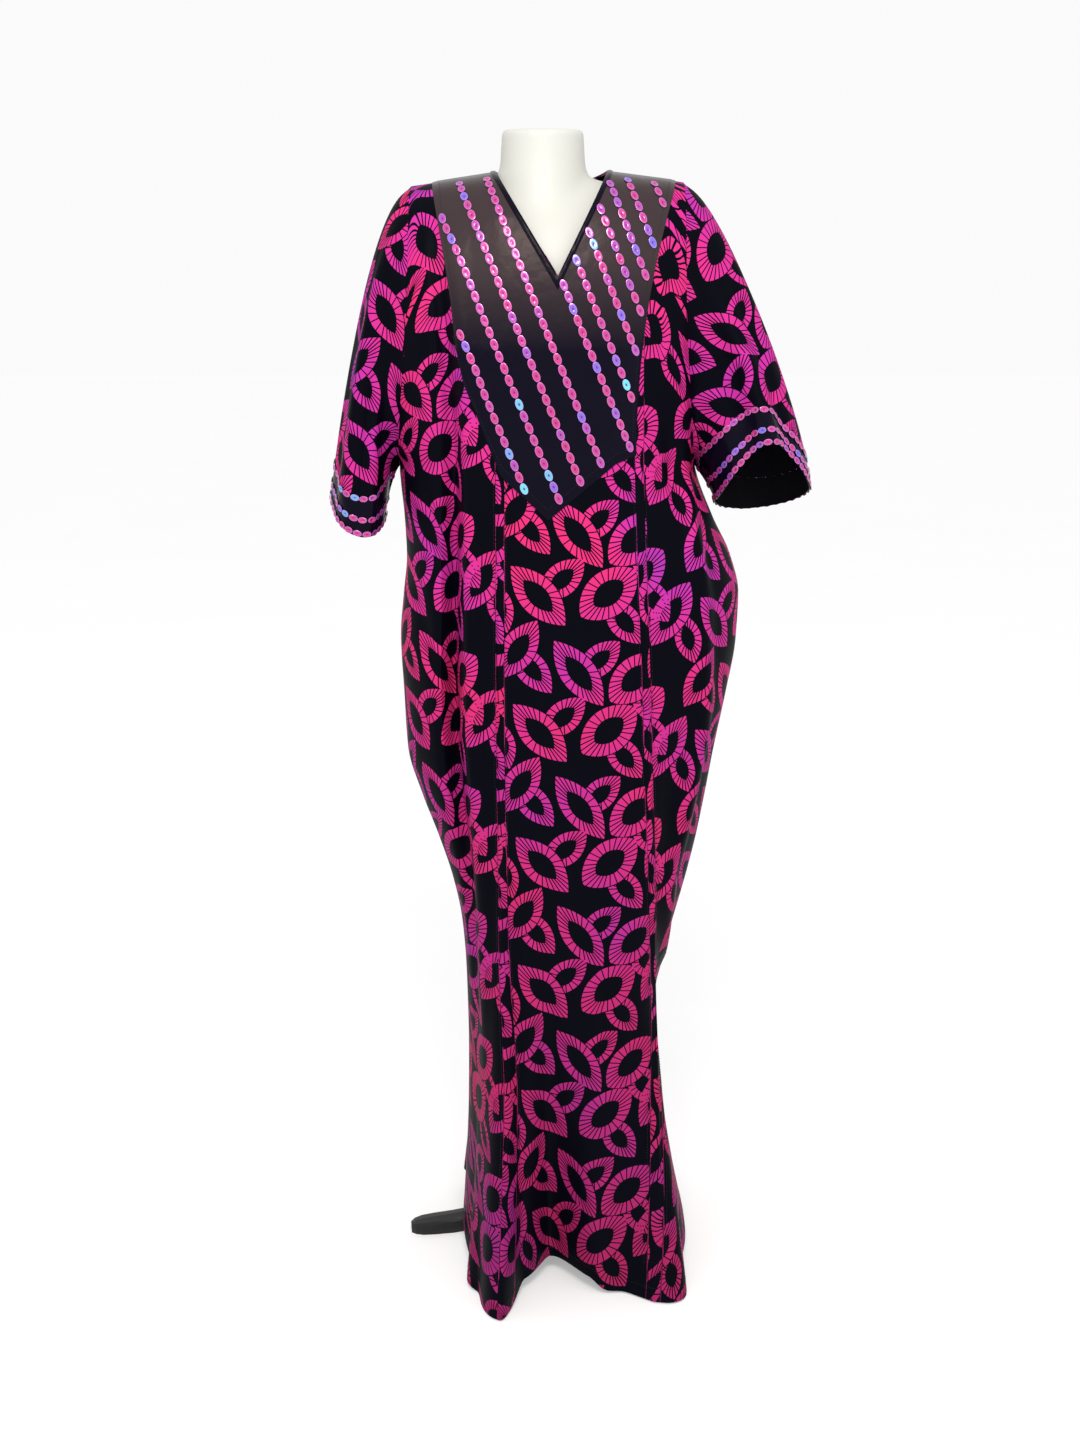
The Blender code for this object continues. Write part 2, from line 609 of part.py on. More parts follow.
def build_cloth(cloth, satin):
    """Front, back, sleeves and cuffs, with one direction along each seam they share."""
    front = panel(-1)
    back = panel(1)
    front_out = grid_normals(front, 1)
    back_out = grid_normals(back, -1)
    under = len(ROWS_BELOW) - 1
    for column in (0, -1):
        below = slice(0, under + 1)
        front_out[below, column], back_out[below, column] = share_normals(
            front_out[below, column], back_out[below, column])
    front_left, front_right = neck_span(front_columns(SHOULDER))
    back_left, back_right = neck_span(back_columns(SHOULDER))
    for front_part, back_part in ((slice(0, front_left + 1), slice(0, back_left + 1)),
                                  (slice(front_right, None), slice(back_right, None))):
        front_out[-1, front_part], back_out[-1, back_part] = share_normals(
            front_out[-1, front_part], back_out[-1, back_part])
    for end in SLEEVE_ENDS:
        sign = -1 if end.side == "left" else 1
        column = 0 if sign < 0 else -1
        beside = 1 if sign < 0 else -2
        loop = armhole(front, back, sign)
        front_way = unit(front[under:, column] - front[under:, beside])[::-1]
        back_way = unit(back[under + 1:-1, column] - back[under + 1:-1, beside])
        way = np.concatenate((front_way, back_way))
        half = len(loop) // 2
        way[0] = unit(np.array((sign * 0.75, 0.0, -0.65)))
        way[half] = unit(np.array((sign * 0.6, 0.0, -0.8)))
        grid = sleeve_grid(loop, way, end)
        out = ring_normals(grid, sign)
        panel_out = np.concatenate((front_out[under:, column][::-1], back_out[under + 1:-1, column]))
        out[0] = unit(out[0] + panel_out)
        shared = out[0].copy()
        out[0, half] = unit(np.array((sign * 0.35, 0.0, -0.94)))
        front_out[under + 1:, column] = shared[:half][::-1]
        back_out[under + 1:-1, column] = shared[half + 1:]
        back_out[-1, column] = shared[0]
        inner = grid - out * WALL
        grid[0] += way * SEAM
        inner[0] += way * SEAM
        sleeve = slice(0, SLEEVE_CELLS + 1)
        cuff = slice(SLEEVE_CELLS, None)
        sleeve_outer, sleeve_inner = grid[sleeve].copy(), inner[sleeve].copy()
        pull_back(sleeve_outer, sleeve_inner, "last_row")
        add_wall("sleeve_" + end.side, sleeve_outer, sleeve_inner, cloth, closed=True)
        cuff_outer, cuff_inner = grid[cuff].copy(), inner[cuff].copy()
        pull_back(cuff_outer, cuff_inner, "first_row")
        add_wall("cuff_" + end.side, cuff_outer, cuff_inner, satin, closed=True)
    for name, grid, out in (("front", front, front_out), ("back", back, back_out)):
        inner = grid - out * WALL
        for edge in ("first_column", "last_column", "last_row"):
            pull_back(grid, inner, edge)
        add_wall(name, grid, inner, cloth)


def yoke_points():
    """Places of the yoke's grid on the front, lower edge first."""
    left, right = YOKE_SHOULDER
    between = [x for x in front_columns(SHOULDER) if left + SIDE_MARGIN < x < right - SIDE_MARGIN]
    top = [left] + between + [right]
    low = np.linspace(YOKE_EDGE[0][0], YOKE_EDGE[-1][0], len(top))
    columns = []
    for j, across_top in enumerate(top):
        u = j / (len(top) - 1)
        curve = YOKE_SIDE_CURVE[0] + (YOKE_SIDE_CURVE[1] - YOKE_SIDE_CURVE[0]) * u
        foot = float(np.interp(low[j], [p[0] for p in YOKE_EDGE], [p[1] for p in YOKE_EDGE]))
        reach = neck_height(-1, across_top)
        high = [row_height(row, reach) for row in YOKE_HIGH_ROWS]
        heights = list(np.linspace(foot, high[0], YOKE_LOW_ROWS + 1)[:-1]) + high
        column = []
        for height in heights:
            share = (height - foot) / (reach - foot)
            column.append((-1, low[j] + (across_top - low[j]) * share ** curve, height))
        columns.append(column)
    return [list(row) for row in zip(*columns)]


def build_yoke(satin):
    """The bib on the front."""
    outer, inner = lying(yoke_points(), LAP, YOKE_WALL)
    pull_back(outer, inner, "last_row")
    add_wall("yoke", outer, inner, satin)


def binding_points():
    """Places of the binding's two edges and middle round the neck, and its height above the panel."""
    middle, low = NECK_POINT
    inside = ((NECK_LEFT, SHOULDER), (middle, low), (NECK_RIGHT, SHOULDER))
    outside = ((NECK_LEFT - BINDING_WIDTH, SHOULDER), (middle, low - BINDING_MITRE),
               (NECK_RIGHT + BINDING_WIDTH, SHOULDER))
    points = []
    lifts = []
    for k in range(2 * BINDING_CELLS + 1):
        leg = 0 if k < BINDING_CELLS else 1
        from_shoulder = (k if leg == 0 else 2 * BINDING_CELLS - k) / BINDING_CELLS
        t = from_shoulder ** 1.8
        shoulder = 0 if leg == 0 else 2
        row = []
        for share in (0.0, 0.5, 1.0):
            high = np.array(inside[shoulder]) * (1 - share) + np.array(outside[shoulder]) * share
            point = np.array(inside[1]) * (1 - share) + np.array(outside[1]) * share
            across, height = high + (point - high) * t
            row.append((-1, across, height))
        points.append(row)
        lifts.append(LAP + YOKE_WALL + BINDING_LAP)
    for k in range(1, BINDING_CELLS):
        t = k / BINDING_CELLS
        turn = math.pi * t
        across = (NECK_LEFT + NECK_RIGHT) / 2 + (NECK_RIGHT - NECK_LEFT) / 2 * math.cos(turn)
        row = []
        for share in (0.0, 0.5, 1.0):
            row.append((1, across + BINDING_WIDTH * share * math.cos(turn),
                        neck_height(1, across) - BINDING_BACK_DROP * share * math.sin(turn)))
        points.append(row)
        lifts.append(BINDING_LAP + (LAP + YOKE_WALL) * abs(math.cos(turn)) ** 6)
    return points, lifts


def build_binding(satin):
    """The bound edge round the neck."""
    points, lifts = binding_points()
    outer, inner = lying(points, lifts, BINDING_WALL)
    add_wall("neck_binding", np.swapaxes(outer, 0, 1), np.swapaxes(inner, 0, 1), satin, closed=True)


def build_form(ivory):
    """The dress form: closed rings from the neck to the underside, with a socket for the pole."""
    bm = bmesh.new()
    rings = []
    for girth in FORM:
        power = 2 / girth.squareness
        ring = []
        for k in range(FORM_SIDES):
            turn = 2 * math.pi * k / FORM_SIDES
            across = math.copysign(abs(math.cos(turn)) ** power, math.cos(turn))
            deep = math.copysign(abs(math.sin(turn)) ** power, math.sin(turn))
            depth = girth.back if deep > 0 else girth.front
            ring.append(bm.verts.new((girth.half_width * across, SEAM_Y + depth * deep, girth.height)))
        rings.append(ring)
    for upper, lower in zip(rings, rings[1:]):
        for k in range(FORM_SIDES):
            after = (k + 1) % FORM_SIDES
            bm.faces.new((upper[k], upper[after], lower[after], lower[k]))
    bm.faces.new(rings[0])
    bm.faces.new(rings[-1])
    form = add_object("form_torso", bm, ivory)
    bpy.ops.mesh.primitive_cylinder_add(vertices=24, radius=SOCKET_RADIUS, depth=SOCKET_DEPTH,
                                        location=(0, 0, POLE_TOP + FIT - SOCKET_DEPTH / 2))
    cutter = bpy.context.object
    cutter.name = "socket_cutter"
    cutter.hide_render = True
    cutter.display_type = "WIRE"
    socket = form.modifiers.new("socket", "BOOLEAN")
    socket.operation = "DIFFERENCE"
    socket.solver = "EXACT"
    socket.object = cutter


def build_stand(black):
    """The pole, and the hub with its three legs as one casting."""
    bm = bmesh.new()
    foot = HUB_HEIGHT + FIT
    bmesh.ops.create_cone(bm, cap_ends=True, segments=24, radius1=POLE_RADIUS, radius2=POLE_RADIUS,
                          depth=POLE_TOP - foot)
    bmesh.ops.translate(bm, verts=bm.verts[:], vec=(0, 0, (POLE_TOP + foot) / 2))
    add_object("stand_pole", bm, black)
    bm = bmesh.new()
    bmesh.ops.create_cone(bm, cap_ends=True, segments=32, radius1=HUB_RADIUS,
                          radius2=HUB_RADIUS * HUB_TAPER,
                          depth=HUB_HEIGHT)
    bmesh.ops.translate(bm, verts=bm.verts[:], vec=(0, 0, HUB_HEIGHT / 2))
    hub = add_object("stand_base", bm, black)
    for number, angle in enumerate(LEG_ANGLES):
        leg = build_leg(number, math.radians(angle), black)
        join = hub.modifiers.new(leg.name, "BOOLEAN")
        join.operation = "UNION"
        join.solver = "EXACT"
        join.object = leg


def build_leg(number, angle, black):
    """One low leg with a round toe, as a shape for the hub's union."""
    bm = bmesh.new()
    rings = []
    for station in LEG:
        ring = []
        for k in range(LEG_SIDES):
            turn = 2 * math.pi * k / LEG_SIDES
            across = station.half_width * math.copysign(abs(math.cos(turn)) ** LEG_CORNER, math.cos(turn))
            share = math.copysign(abs(math.sin(turn)) ** LEG_CORNER, math.sin(turn))
            up = max((share + LEG_FLAT) / (1 + LEG_FLAT), 0.0)
            height = station.underside + (station.top - station.underside) * up
            ring.append(bm.verts.new((station.reach, across, height)))
        rings.append(ring)
    for first, second in zip(rings, rings[1:]):
        for k in range(LEG_SIDES):
            after = (k + 1) % LEG_SIDES
            bm.faces.new((first[k], first[after], second[after], second[k]))
    bm.faces.new(rings[0])
    bm.faces.new(rings[-1])
    leg = add_object("leg_shape_" + str(number), bm, black)
    leg.rotation_euler = (0, 0, angle)
    leg.hide_render = True
    leg.display_type = "WIRE"
    return leg


def main():
    for old in list(bpy.data.objects):
        bpy.data.objects.remove(old, do_unlink=True)
    cloth = material("printed cloth", CLOTH_COLOUR, 0.45)
    satin = material("black satin", SATIN_COLOUR, 0.35)
    ivory = material("ivory form", FORM_COLOUR, 0.40)
    black = material("black stand", STAND_COLOUR, 0.30)
    build_cloth(cloth, satin)
    build_yoke(satin)
    build_binding(satin)
    build_form(ivory)
    build_stand(black)
    bpy.context.view_layer.update()


main()
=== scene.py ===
"""Looks of a printed robe with wide sleeves, worn by a limbless dress form on a low stand.

Each cloth piece is a thin shell on its solid's form: a rounded section at each height, pushed out and
in by the folds. Beyond the solids' sizes are only the front hem's folds, the right cuff's front corner,
the sleeves' folds and the creases. The print follows the cloth through UVs in metres. Metres, +Z up;
the front faces -Y; left is the left of someone who looks at the front.
"""
import logging
import math
from dataclasses import dataclass, field
from enum import Enum
from typing import NamedTuple, Optional, Sequence, Union

import bpy
import numpy as np
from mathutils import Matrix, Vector

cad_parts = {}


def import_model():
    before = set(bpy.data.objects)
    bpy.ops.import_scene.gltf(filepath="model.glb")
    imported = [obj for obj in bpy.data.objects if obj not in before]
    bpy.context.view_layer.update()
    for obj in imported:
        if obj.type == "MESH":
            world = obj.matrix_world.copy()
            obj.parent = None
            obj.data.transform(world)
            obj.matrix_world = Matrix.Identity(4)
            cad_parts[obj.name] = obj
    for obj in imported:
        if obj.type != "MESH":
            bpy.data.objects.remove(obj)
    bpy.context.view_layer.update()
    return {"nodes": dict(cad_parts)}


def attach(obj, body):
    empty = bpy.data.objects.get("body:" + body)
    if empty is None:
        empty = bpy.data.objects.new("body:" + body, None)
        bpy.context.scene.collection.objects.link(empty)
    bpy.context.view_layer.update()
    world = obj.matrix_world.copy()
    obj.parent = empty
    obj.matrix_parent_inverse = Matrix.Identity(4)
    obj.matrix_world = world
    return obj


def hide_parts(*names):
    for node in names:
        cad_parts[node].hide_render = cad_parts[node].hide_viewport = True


LOG = logging.getLogger("robe")
Array = np.ndarray

# The robe's heights and places across.
SHOULDER = 1.455
UNDERARM = 1.095
SEAM_Y = -0.010
NECK_POINT = (0.018, 1.336)
NECK_LEFT = -0.059
NECK_RIGHT = 0.081
BACK_NECK_DROP = 0.016
HEM_CLEAR = 0.002
HEM_BLEND = 0.10
SHOULDER_BLEND = 1.25
CUFF_WIDTH = 0.052
SIDE_MARGIN = 0.006
# The walls of the pieces, and how they lie beside and on each other.
CLOTH = 0.0010
CUFF_CLOTH = 0.0014
YOKE_CLOTH = 0.0009
BINDING_CLOTH = 0.0010
SEAM = 0.0003
EDGE_ROLL = 0.0008
YOKE_LIFT = 0.0011
# Where the sections stand closer, the folds and tucks die out and the back's columns spread.
STEEP_FROM = 1.40
FOLDS_FADE = (1.36, 1.44)
CALM_AT_SEAM = 0.020
TUCK_FADE = 0.030
TUCK_HALF = 0.0055
BACK_SPREAD = (1.15, 1.42)
# Where the print is at its true height on the front, and where it starts on the back and sleeves.
PRINT_LEVEL = 0.885
BACK_PRINT = 0.400
CUT_TOP = 1.300
# The cloth's threads.
WEAVE_PITCH = 0.0011
TWILL_PITCH = 0.0009
WEAVE_RELIEF = 0.00006
TWILL_RELIEF = 0.00004
THREAD_STRENGTH = 0.10
# The sharpest edge that is shaded smooth, and numbers too small to matter.
SHARP_EDGE = math.radians(50)
TINY = 1e-12
NEAR = 1e-6


class Side(Enum):
    """Which half of the robe a piece belongs to, as the sign of Y."""

    FRONT = -1
    BACK = 1


class Outline(NamedTuple):
    """How far the robe reaches to the left and right at a height."""

    height: float
    left: float
    right: float


class Depth(NamedTuple):
    """How far the robe reaches to the front and back of its seams at a height."""

    height: float
    front: float
    back: float
    squareness: float


class Armhole(NamedTuple):
    """Half of the gap between front and back at the armhole, and how far round each half turns."""

    height: float
    half_opening: float
    turn: float


class Fold(NamedTuple):
    """A fold's place across and depth at FOLD_HEIGHTS, its widths, the right half's share, its lean."""

    name: str
    across: tuple
    out: tuple
    width_top: float
    width_hem: float
    skew: float
    lean: float


class PrintJump(NamedTuple):
    """How the print jumps at a tuck: the way out, its shifts beyond the tuck and the strip taken up."""

    fold: str
    sign: int
    aside: float
    up: float
    strip: float


class Line(NamedTuple):
    """A line that the front's columns follow, the distance from it and the cells up to the next."""

    guide: str
    offset: float
    cells: int


class SleeveEnd(NamedTuple):
    """Four points round a cuff's edge, and how the sleeve leaves the armhole and hangs."""

    side: str
    outer: tuple
    front: tuple
    inner: tuple
    back: tuple
    peak: float
    start: float
    finish: float


class SleeveFold(NamedTuple):
    """A ridge or trough down a sleeve: its turn and width in degrees, where it runs and its depth."""

    side: str
    turn: float
    width: float
    start: float
    finish: float
    depth: float


class Crease(NamedTuple):
    """A soft trough (negative) or ridge between two places (across, height) of one half."""

    side: Side
    start: tuple
    end: tuple
    width: float
    depth: float


OUTLINES = (
    Outline(0.000, -0.115, 0.207), Outline(0.100, -0.109, 0.186), Outline(0.210, -0.104, 0.169),
    Outline(0.300, -0.103, 0.161), Outline(0.360, -0.104, 0.158), Outline(0.420, -0.106, 0.165),
    Outline(0.480, -0.111, 0.179), Outline(0.540, -0.123, 0.195), Outline(0.600, -0.142, 0.209),
    Outline(0.660, -0.164, 0.220), Outline(0.720, -0.181, 0.230), Outline(0.800, -0.185, 0.245),
    Outline(0.870, -0.188, 0.256), Outline(0.930, -0.183, 0.258), Outline(0.980, -0.178, 0.246),
    Outline(1.030, -0.180, 0.222), Outline(1.095, -0.186, 0.198), Outline(1.160, -0.181, 0.189),
    Outline(1.250, -0.172, 0.181), Outline(1.340, -0.167, 0.177), Outline(1.455, -0.165, 0.176),
)
DEPTHS = (
    Depth(0.000, 0.188, 0.168, 2.9), Depth(0.100, 0.172, 0.158, 2.8), Depth(0.200, 0.161, 0.148, 2.6),
    Depth(0.300, 0.155, 0.142, 2.5), Depth(0.420, 0.153, 0.138, 2.4), Depth(0.660, 0.150, 0.134, 2.3),
    Depth(0.920, 0.148, 0.128, 2.3), Depth(1.095, 0.147, 0.120, 2.3), Depth(1.220, 0.141, 0.118, 2.3),
    Depth(1.290, 0.132, 0.115, 2.3), Depth(1.340, 0.121, 0.110, 2.3), Depth(1.380, 0.108, 0.102, 2.3),
    Depth(1.410, 0.093, 0.090, 2.3), Depth(1.430, 0.076, 0.075, 2.3), Depth(1.440, 0.062, 0.062, 2.3),
    Depth(1.447, 0.046, 0.046, 2.3), Depth(1.452, 0.026, 0.026, 2.3), Depth(1.455, 0.000, 0.000, 2.3),
)
ARMHOLES = (
    Armhole(0.000, 0.000, 90.0), Armhole(1.030, 0.000, 90.0), Armhole(1.095, 0.000, 82.0),
    Armhole(1.120, 0.032, 68.0), Armhole(1.160, 0.058, 58.0), Armhole(1.220, 0.076, 55.0),
    Armhole(1.290, 0.080, 55.0), Armhole(1.340, 0.078, 55.0), Armhole(1.380, 0.072, 55.0),
    Armhole(1.410, 0.062, 55.0), Armhole(1.430, 0.050, 55.0), Armhole(1.440, 0.042, 55.0),
    Armhole(1.447, 0.030, 55.0), Armhole(1.452, 0.016, 55.0), Armhole(1.455, 0.000, 55.0),
)
FOLD_HEIGHTS = (1.40, 1.10, 0.80, 0.50, 0.25, 0.00)
FRONT_FOLDS = (
    Fold("valley", (-0.130, -0.113, -0.117, -0.094, -0.082, -0.086),
         (-0.004, -0.020, -0.034, -0.008, 0.000, 0.000), 0.018, 0.026, 1.0, 0.4),
    Fold("panel_edge", (-0.108, -0.090, -0.094, -0.080, -0.078, -0.086),
         (0.002, 0.006, 0.010, 0.006, 0.006, 0.030), 0.024, 0.030, 1.0, 0.6),
    Fold("tuck_left", (-0.053, -0.053, -0.054, -0.050, -0.038, -0.040),
         (0.000, 0.002, 0.003, 0.003, 0.003, 0.003), 0.006, 0.006, 1.0, 0.0),
    Fold("left_fold", (-0.060, -0.060, -0.060, -0.056, -0.045, -0.044),
         (0.000, 0.000, 0.000, 0.008, 0.030, 0.076), 0.050, 0.056, 0.36, 0.25),
    Fold("recess", (0.010, 0.010, 0.010, 0.010, 0.008, 0.006),
         (0.000, 0.000, 0.000, -0.008, -0.026, -0.060), 0.040, 0.036, 2.0, 0.0),
    Fold("right_fold", (0.120, 0.120, 0.125, 0.132, 0.142, 0.158),
         (0.000, 0.000, 0.000, 0.008, 0.022, 0.052), 0.050, 0.060, 0.8, -0.1),
    Fold("tuck_right", (0.117, 0.120, 0.133, 0.142, 0.138, 0.137),
         (0.000, 0.002, 0.003, 0.003, 0.003, 0.002), 0.006, 0.006, 1.0, 0.0),
    Fold("side_bulge", (0.170, 0.180, 0.205, 0.165, 0.165, 0.170),
         (0.000, 0.006, 0.012, 0.006, 0.000, 0.000), 0.030, 0.030, 1.0, 0.0),
)
BACK_FOLDS = (
    Fold("back_left", (-0.130, -0.130, -0.135, -0.085, -0.080, -0.092),
         (0.000, 0.006, 0.014, 0.012, 0.014, 0.024), 0.032, 0.036, 1.0, -0.5),
    Fold("back_valley_left", (-0.075, -0.075, -0.075, -0.045, -0.040, -0.050),
         (0.000, -0.003, -0.008, -0.010, -0.012, -0.014), 0.028, 0.030, 1.0, 0.0),
    Fold("back_middle", (-0.010, -0.010, -0.005, 0.005, 0.010, 0.005),
         (0.000, 0.004, 0.010, 0.012, 0.014, 0.018), 0.034, 0.036, 1.2, 0.1),
    Fold("back_valley_right", (0.060, 0.060, 0.075, 0.060, 0.060, 0.070),
         (0.000, -0.004, -0.012, -0.014, -0.016, -0.018), 0.032, 0.036, 1.0, 0.0),
    Fold("back_right", (0.120, 0.125, 0.150, 0.115, 0.115, 0.135),
         (0.000, 0.004, 0.012, 0.014, 0.014, 0.020), 0.036, 0.038, 0.9, 0.2),
)
TUCKS = ("tuck_left", "tuck_right")
PRINT_JUMPS = (
    PrintJump("tuck_left", -1, 0.000, 0.000, 0.060), PrintJump("tuck_right", 1, -0.007, 0.044, 0.045),
)
TUCK_TOP = 1.13
FRONT_HEM = ((-0.115, 0.030), (-0.098, 0.010), (-0.070, 0.000), (-0.040, 0.000), (-0.024, 0.016),
             (0.032, 0.022), (0.062, 0.020), (0.088, 0.003), (0.140, 0.000), (0.180, 0.002),
             (0.207, 0.014))
BACK_HEM = ((-0.115, 0.030), (-0.060, 0.026), (0.040, 0.028), (0.120, 0.026), (0.207, 0.014))
SHOULDER_LINE = ((-0.165, -0.008), (-0.059, 0.008), (0.081, 0.009), (0.176, -0.003))
ROWS_BELOW = (0.000, 0.025, 0.060, 0.100, 0.150, 0.205, 0.265, 0.325, 0.385, 0.445, 0.505, 0.565,
              0.625, 0.690, 0.755, 0.820, 0.885, 0.945, 1.000, 1.050, UNDERARM)
ROWS_ABOVE = (1.125, 1.160, 1.205, 1.250, 1.295, 1.340, 1.380, 1.410, 1.430, 1.442, 1.450, SHOULDER)
FRONT_LINES = (
    Line("left", 0.0, 16), Line("valley", -0.014, 9), Line("valley", 0.006, 9),
    Line("valley", 0.026, 12), Line("tuck_left", -0.006, 3), Line("tuck_left", -0.003, 4),
    Line("tuck_left", 0.003, 3), Line("tuck_left", 0.006, 24), Line("middle", 0.0, 26),
    Line("neck_right", 0.0, 9), Line("tuck_right", -0.006, 3), Line("tuck_right", -0.003, 4),
    Line("tuck_right", 0.003, 3), Line("tuck_right", 0.006, 26), Line("right", 0.0, 0),
)
GUIDES = {
    "middle": (0.018, 0.024, 0.028, 0.032, 0.032, 0.034),
    "neck_right": (0.081, 0.084, 0.088, 0.088, 0.084, 0.082),
}
BACK_NECK_CELLS = 34
SLEEVE_CELLS = 38
CUFF_CELLS = 10
CUFF_MOST = 0.80
START_MOST = 0.80
SLEEVE_FALL = (0.12, -1.0)
SHOULDER_WAY = (0.75, -0.65)
UNDERARM_WAY = (0.60, -0.80)
SLEEVE_ENDS = (
    SleeveEnd("left", (-0.276, -0.012, 1.060), (-0.235, -0.085, 1.017), (-0.204, -0.025, 1.034),
              (-0.238, 0.042, 1.030), 1.0, 0.16, 0.70),
    SleeveEnd("right", (0.347, -0.020, 1.067), (0.266, -0.100, 1.136), (0.222, -0.030, 1.056),
              (0.280, 0.032, 1.036), 2.2, 0.16, 0.50),
)
SLEEVE_FOLDS = (
    SleeveFold("right", 90, 17, 0.05, 1.60, 0.0085), SleeveFold("right", 64, 20, 0.15, 1.25, -0.0070),
    SleeveFold("right", 28, 20, 0.20, 1.10, 0.0035), SleeveFold("right", 116, 16, 0.30, 1.30, -0.0050),
    SleeveFold("right", 250, 24, 0.15, 1.20, -0.0060), SleeveFold("right", 285, 24, 0.10, 1.00, 0.0045),
    SleeveFold("left", 95, 24, 0.15, 1.15, -0.0065), SleeveFold("left", 60, 22, 0.05, 0.95, 0.0050),
    SleeveFold("left", 30, 20, 0.35, 1.10, -0.0035), SleeveFold("left", 125, 18, 0.45, 1.05, 0.0030),
    SleeveFold("left", 255, 24, 0.20, 1.10, -0.0055), SleeveFold("left", 290, 22, 0.10, 0.95, 0.0045),
)
YOKE_EDGE = ((-0.108, 1.267), (-0.098, 1.213), (-0.076, 1.158), (-0.050, 1.098), (0.007, 1.046),
             (0.055, 1.086), (0.090, 1.114), (0.115, 1.123))
YOKE_SHOULDER = (-0.138, 0.166)
YOKE_SIDE_CURVE = (1.35, 2.2)
CREASES = (
    Crease(Side.FRONT, (-0.150, 1.330), (-0.120, 1.060), 0.012, -0.003),
    Crease(Side.FRONT, (-0.155, 1.120), (-0.125, 0.930), 0.016, -0.004),
    Crease(Side.FRONT, (-0.165, 0.960), (-0.128, 0.800), 0.014, -0.003),
    Crease(Side.FRONT, (-0.060, 0.860), (0.020, 0.835), 0.012, -0.0012),
    Crease(Side.FRONT, (0.060, 0.770), (0.120, 0.800), 0.012, -0.0012),
    Crease(Side.FRONT, (0.075, 0.560), (0.085, 0.250), 0.016, -0.004),
    Crease(Side.FRONT, (0.103, 0.480), (0.110, 0.200), 0.012, 0.003),
    Crease(Side.FRONT, (0.020, 0.520), (0.035, 0.180), 0.018, 0.003),
    Crease(Side.FRONT, (-0.010, 0.640), (-0.004, 0.330), 0.018, 0.002),
    Crease(Side.FRONT, (0.160, 0.760), (0.180, 0.520), 0.016, -0.005),
    Crease(Side.FRONT, (0.150, 1.180), (0.190, 0.940), 0.015, -0.005),
    Crease(Side.FRONT, (0.175, 1.060), (0.225, 0.880), 0.014, 0.003),
    Crease(Side.FRONT, (-0.060, 1.200), (0.000, 1.060), 0.014, -0.0015),
    Crease(Side.FRONT, (-0.172, 1.010), (-0.135, 0.975), 0.007, -0.0022),
    Crease(Side.FRONT, (-0.176, 0.985), (-0.128, 0.930), 0.008, 0.0020),
    Crease(Side.FRONT, (-0.170, 0.880), (-0.130, 0.850), 0.007, -0.0020),
    Crease(Side.FRONT, (-0.060, 1.010), (0.060, 0.985), 0.010, -0.0010),
    Crease(Side.FRONT, (0.000, 0.720), (0.110, 0.700), 0.009, -0.0012),
    Crease(Side.FRONT, (0.120, 0.745), (0.215, 0.705), 0.009, -0.0030),
    Crease(Side.FRONT, (0.150, 0.720), (0.205, 0.670), 0.008, 0.0022),
    Crease(Side.FRONT, (-0.040, 0.505), (0.060, 0.480), 0.010, -0.0012),
    Crease(Side.FRONT, (0.095, 0.600), (0.165, 0.560), 0.008, -0.0020),
    Crease(Side.FRONT, (0.150, 0.470), (0.162, 0.330), 0.008, -0.0025),
    Crease(Side.FRONT, (0.140, 1.060), (0.200, 1.020), 0.008, -0.0024),
    Crease(Side.BACK, (-0.120, 1.330), (-0.085, 1.000), 0.016, -0.003),
    Crease(Side.BACK, (0.130, 1.320), (0.100, 0.980), 0.016, -0.003),
    Crease(Side.BACK, (-0.020, 1.150), (0.010, 0.700), 0.020, 0.003),
    Crease(Side.BACK, (0.150, 0.950), (0.170, 0.600), 0.016, -0.004),
    Crease(Side.BACK, (-0.150, 0.900), (-0.120, 0.560), 0.016, -0.004),
    Crease(Side.BACK, (0.030, 0.620), (0.040, 0.200), 0.018, -0.003),
)


def smooth(xs: Sequence[float], ys: Sequence[float], at: Union[float, Array]) -> Array:
    """A curve through points that never swings past them.

    Args:
        xs: Rising places of the points.
        ys: Their values.
        at: Where the curve is read.

    Returns:
        The curve's values at those places.
    """
    xs, ys = np.asarray(xs, dtype=float), np.asarray(ys, dtype=float)
    at = np.clip(np.asarray(at, dtype=float), xs[0], xs[-1])
    step = np.diff(xs)
    slope = np.diff(ys) / step
    tangent = np.zeros(len(xs))
    tangent[0], tangent[-1] = slope[0], slope[-1]
    for i in range(1, len(xs) - 1):
        if slope[i - 1] * slope[i] > 0:
            before = 2 * step[i] + step[i - 1]
            after = step[i] + 2 * step[i - 1]
            tangent[i] = (before + after) / (before / slope[i - 1] + after / slope[i])
    i = np.clip(np.searchsorted(xs, at, side="right") - 1, 0, len(xs) - 2)
    t = (at - xs[i]) / step[i]
    held = (1 + 2 * t) * (1 - t) ** 2 * ys[i] + t * t * (3 - 2 * t) * ys[i + 1]
    return held + step[i] * (t * (1 - t) ** 2 * tangent[i] - t * t * (1 - t) * tangent[i + 1])


def ease(low: float, high: float, at: Union[float, Array]) -> Array:
    """0 below low, 1 above high and smooth between them."""
    t = np.clip((np.asarray(at, dtype=float) - low) / (high - low), 0.0, 1.0)
    return t * t * (3 - 2 * t)


def read(table: Sequence[NamedTuple], name: str, height: Union[float, Array]) -> Array:
    """One column of a table whose first column is the height."""
    return smooth([row.height for row in table], [getattr(row, name) for row in table], height)


def reach(height: Union[float, Array]) -> tuple:
    """The middle and the half width of the robe's section at a height."""
    left, right = read(OUTLINES, "left", height), read(OUTLINES, "right", height)
    return (left + right) / 2, (right - left) / 2


def broken_line(points: Sequence[tuple], at: Union[float, Array]) -> Array:
    """The values of a broken line through pairs of place and value."""
    return np.interp(at, [point[0] for point in points], [point[1] for point in points])


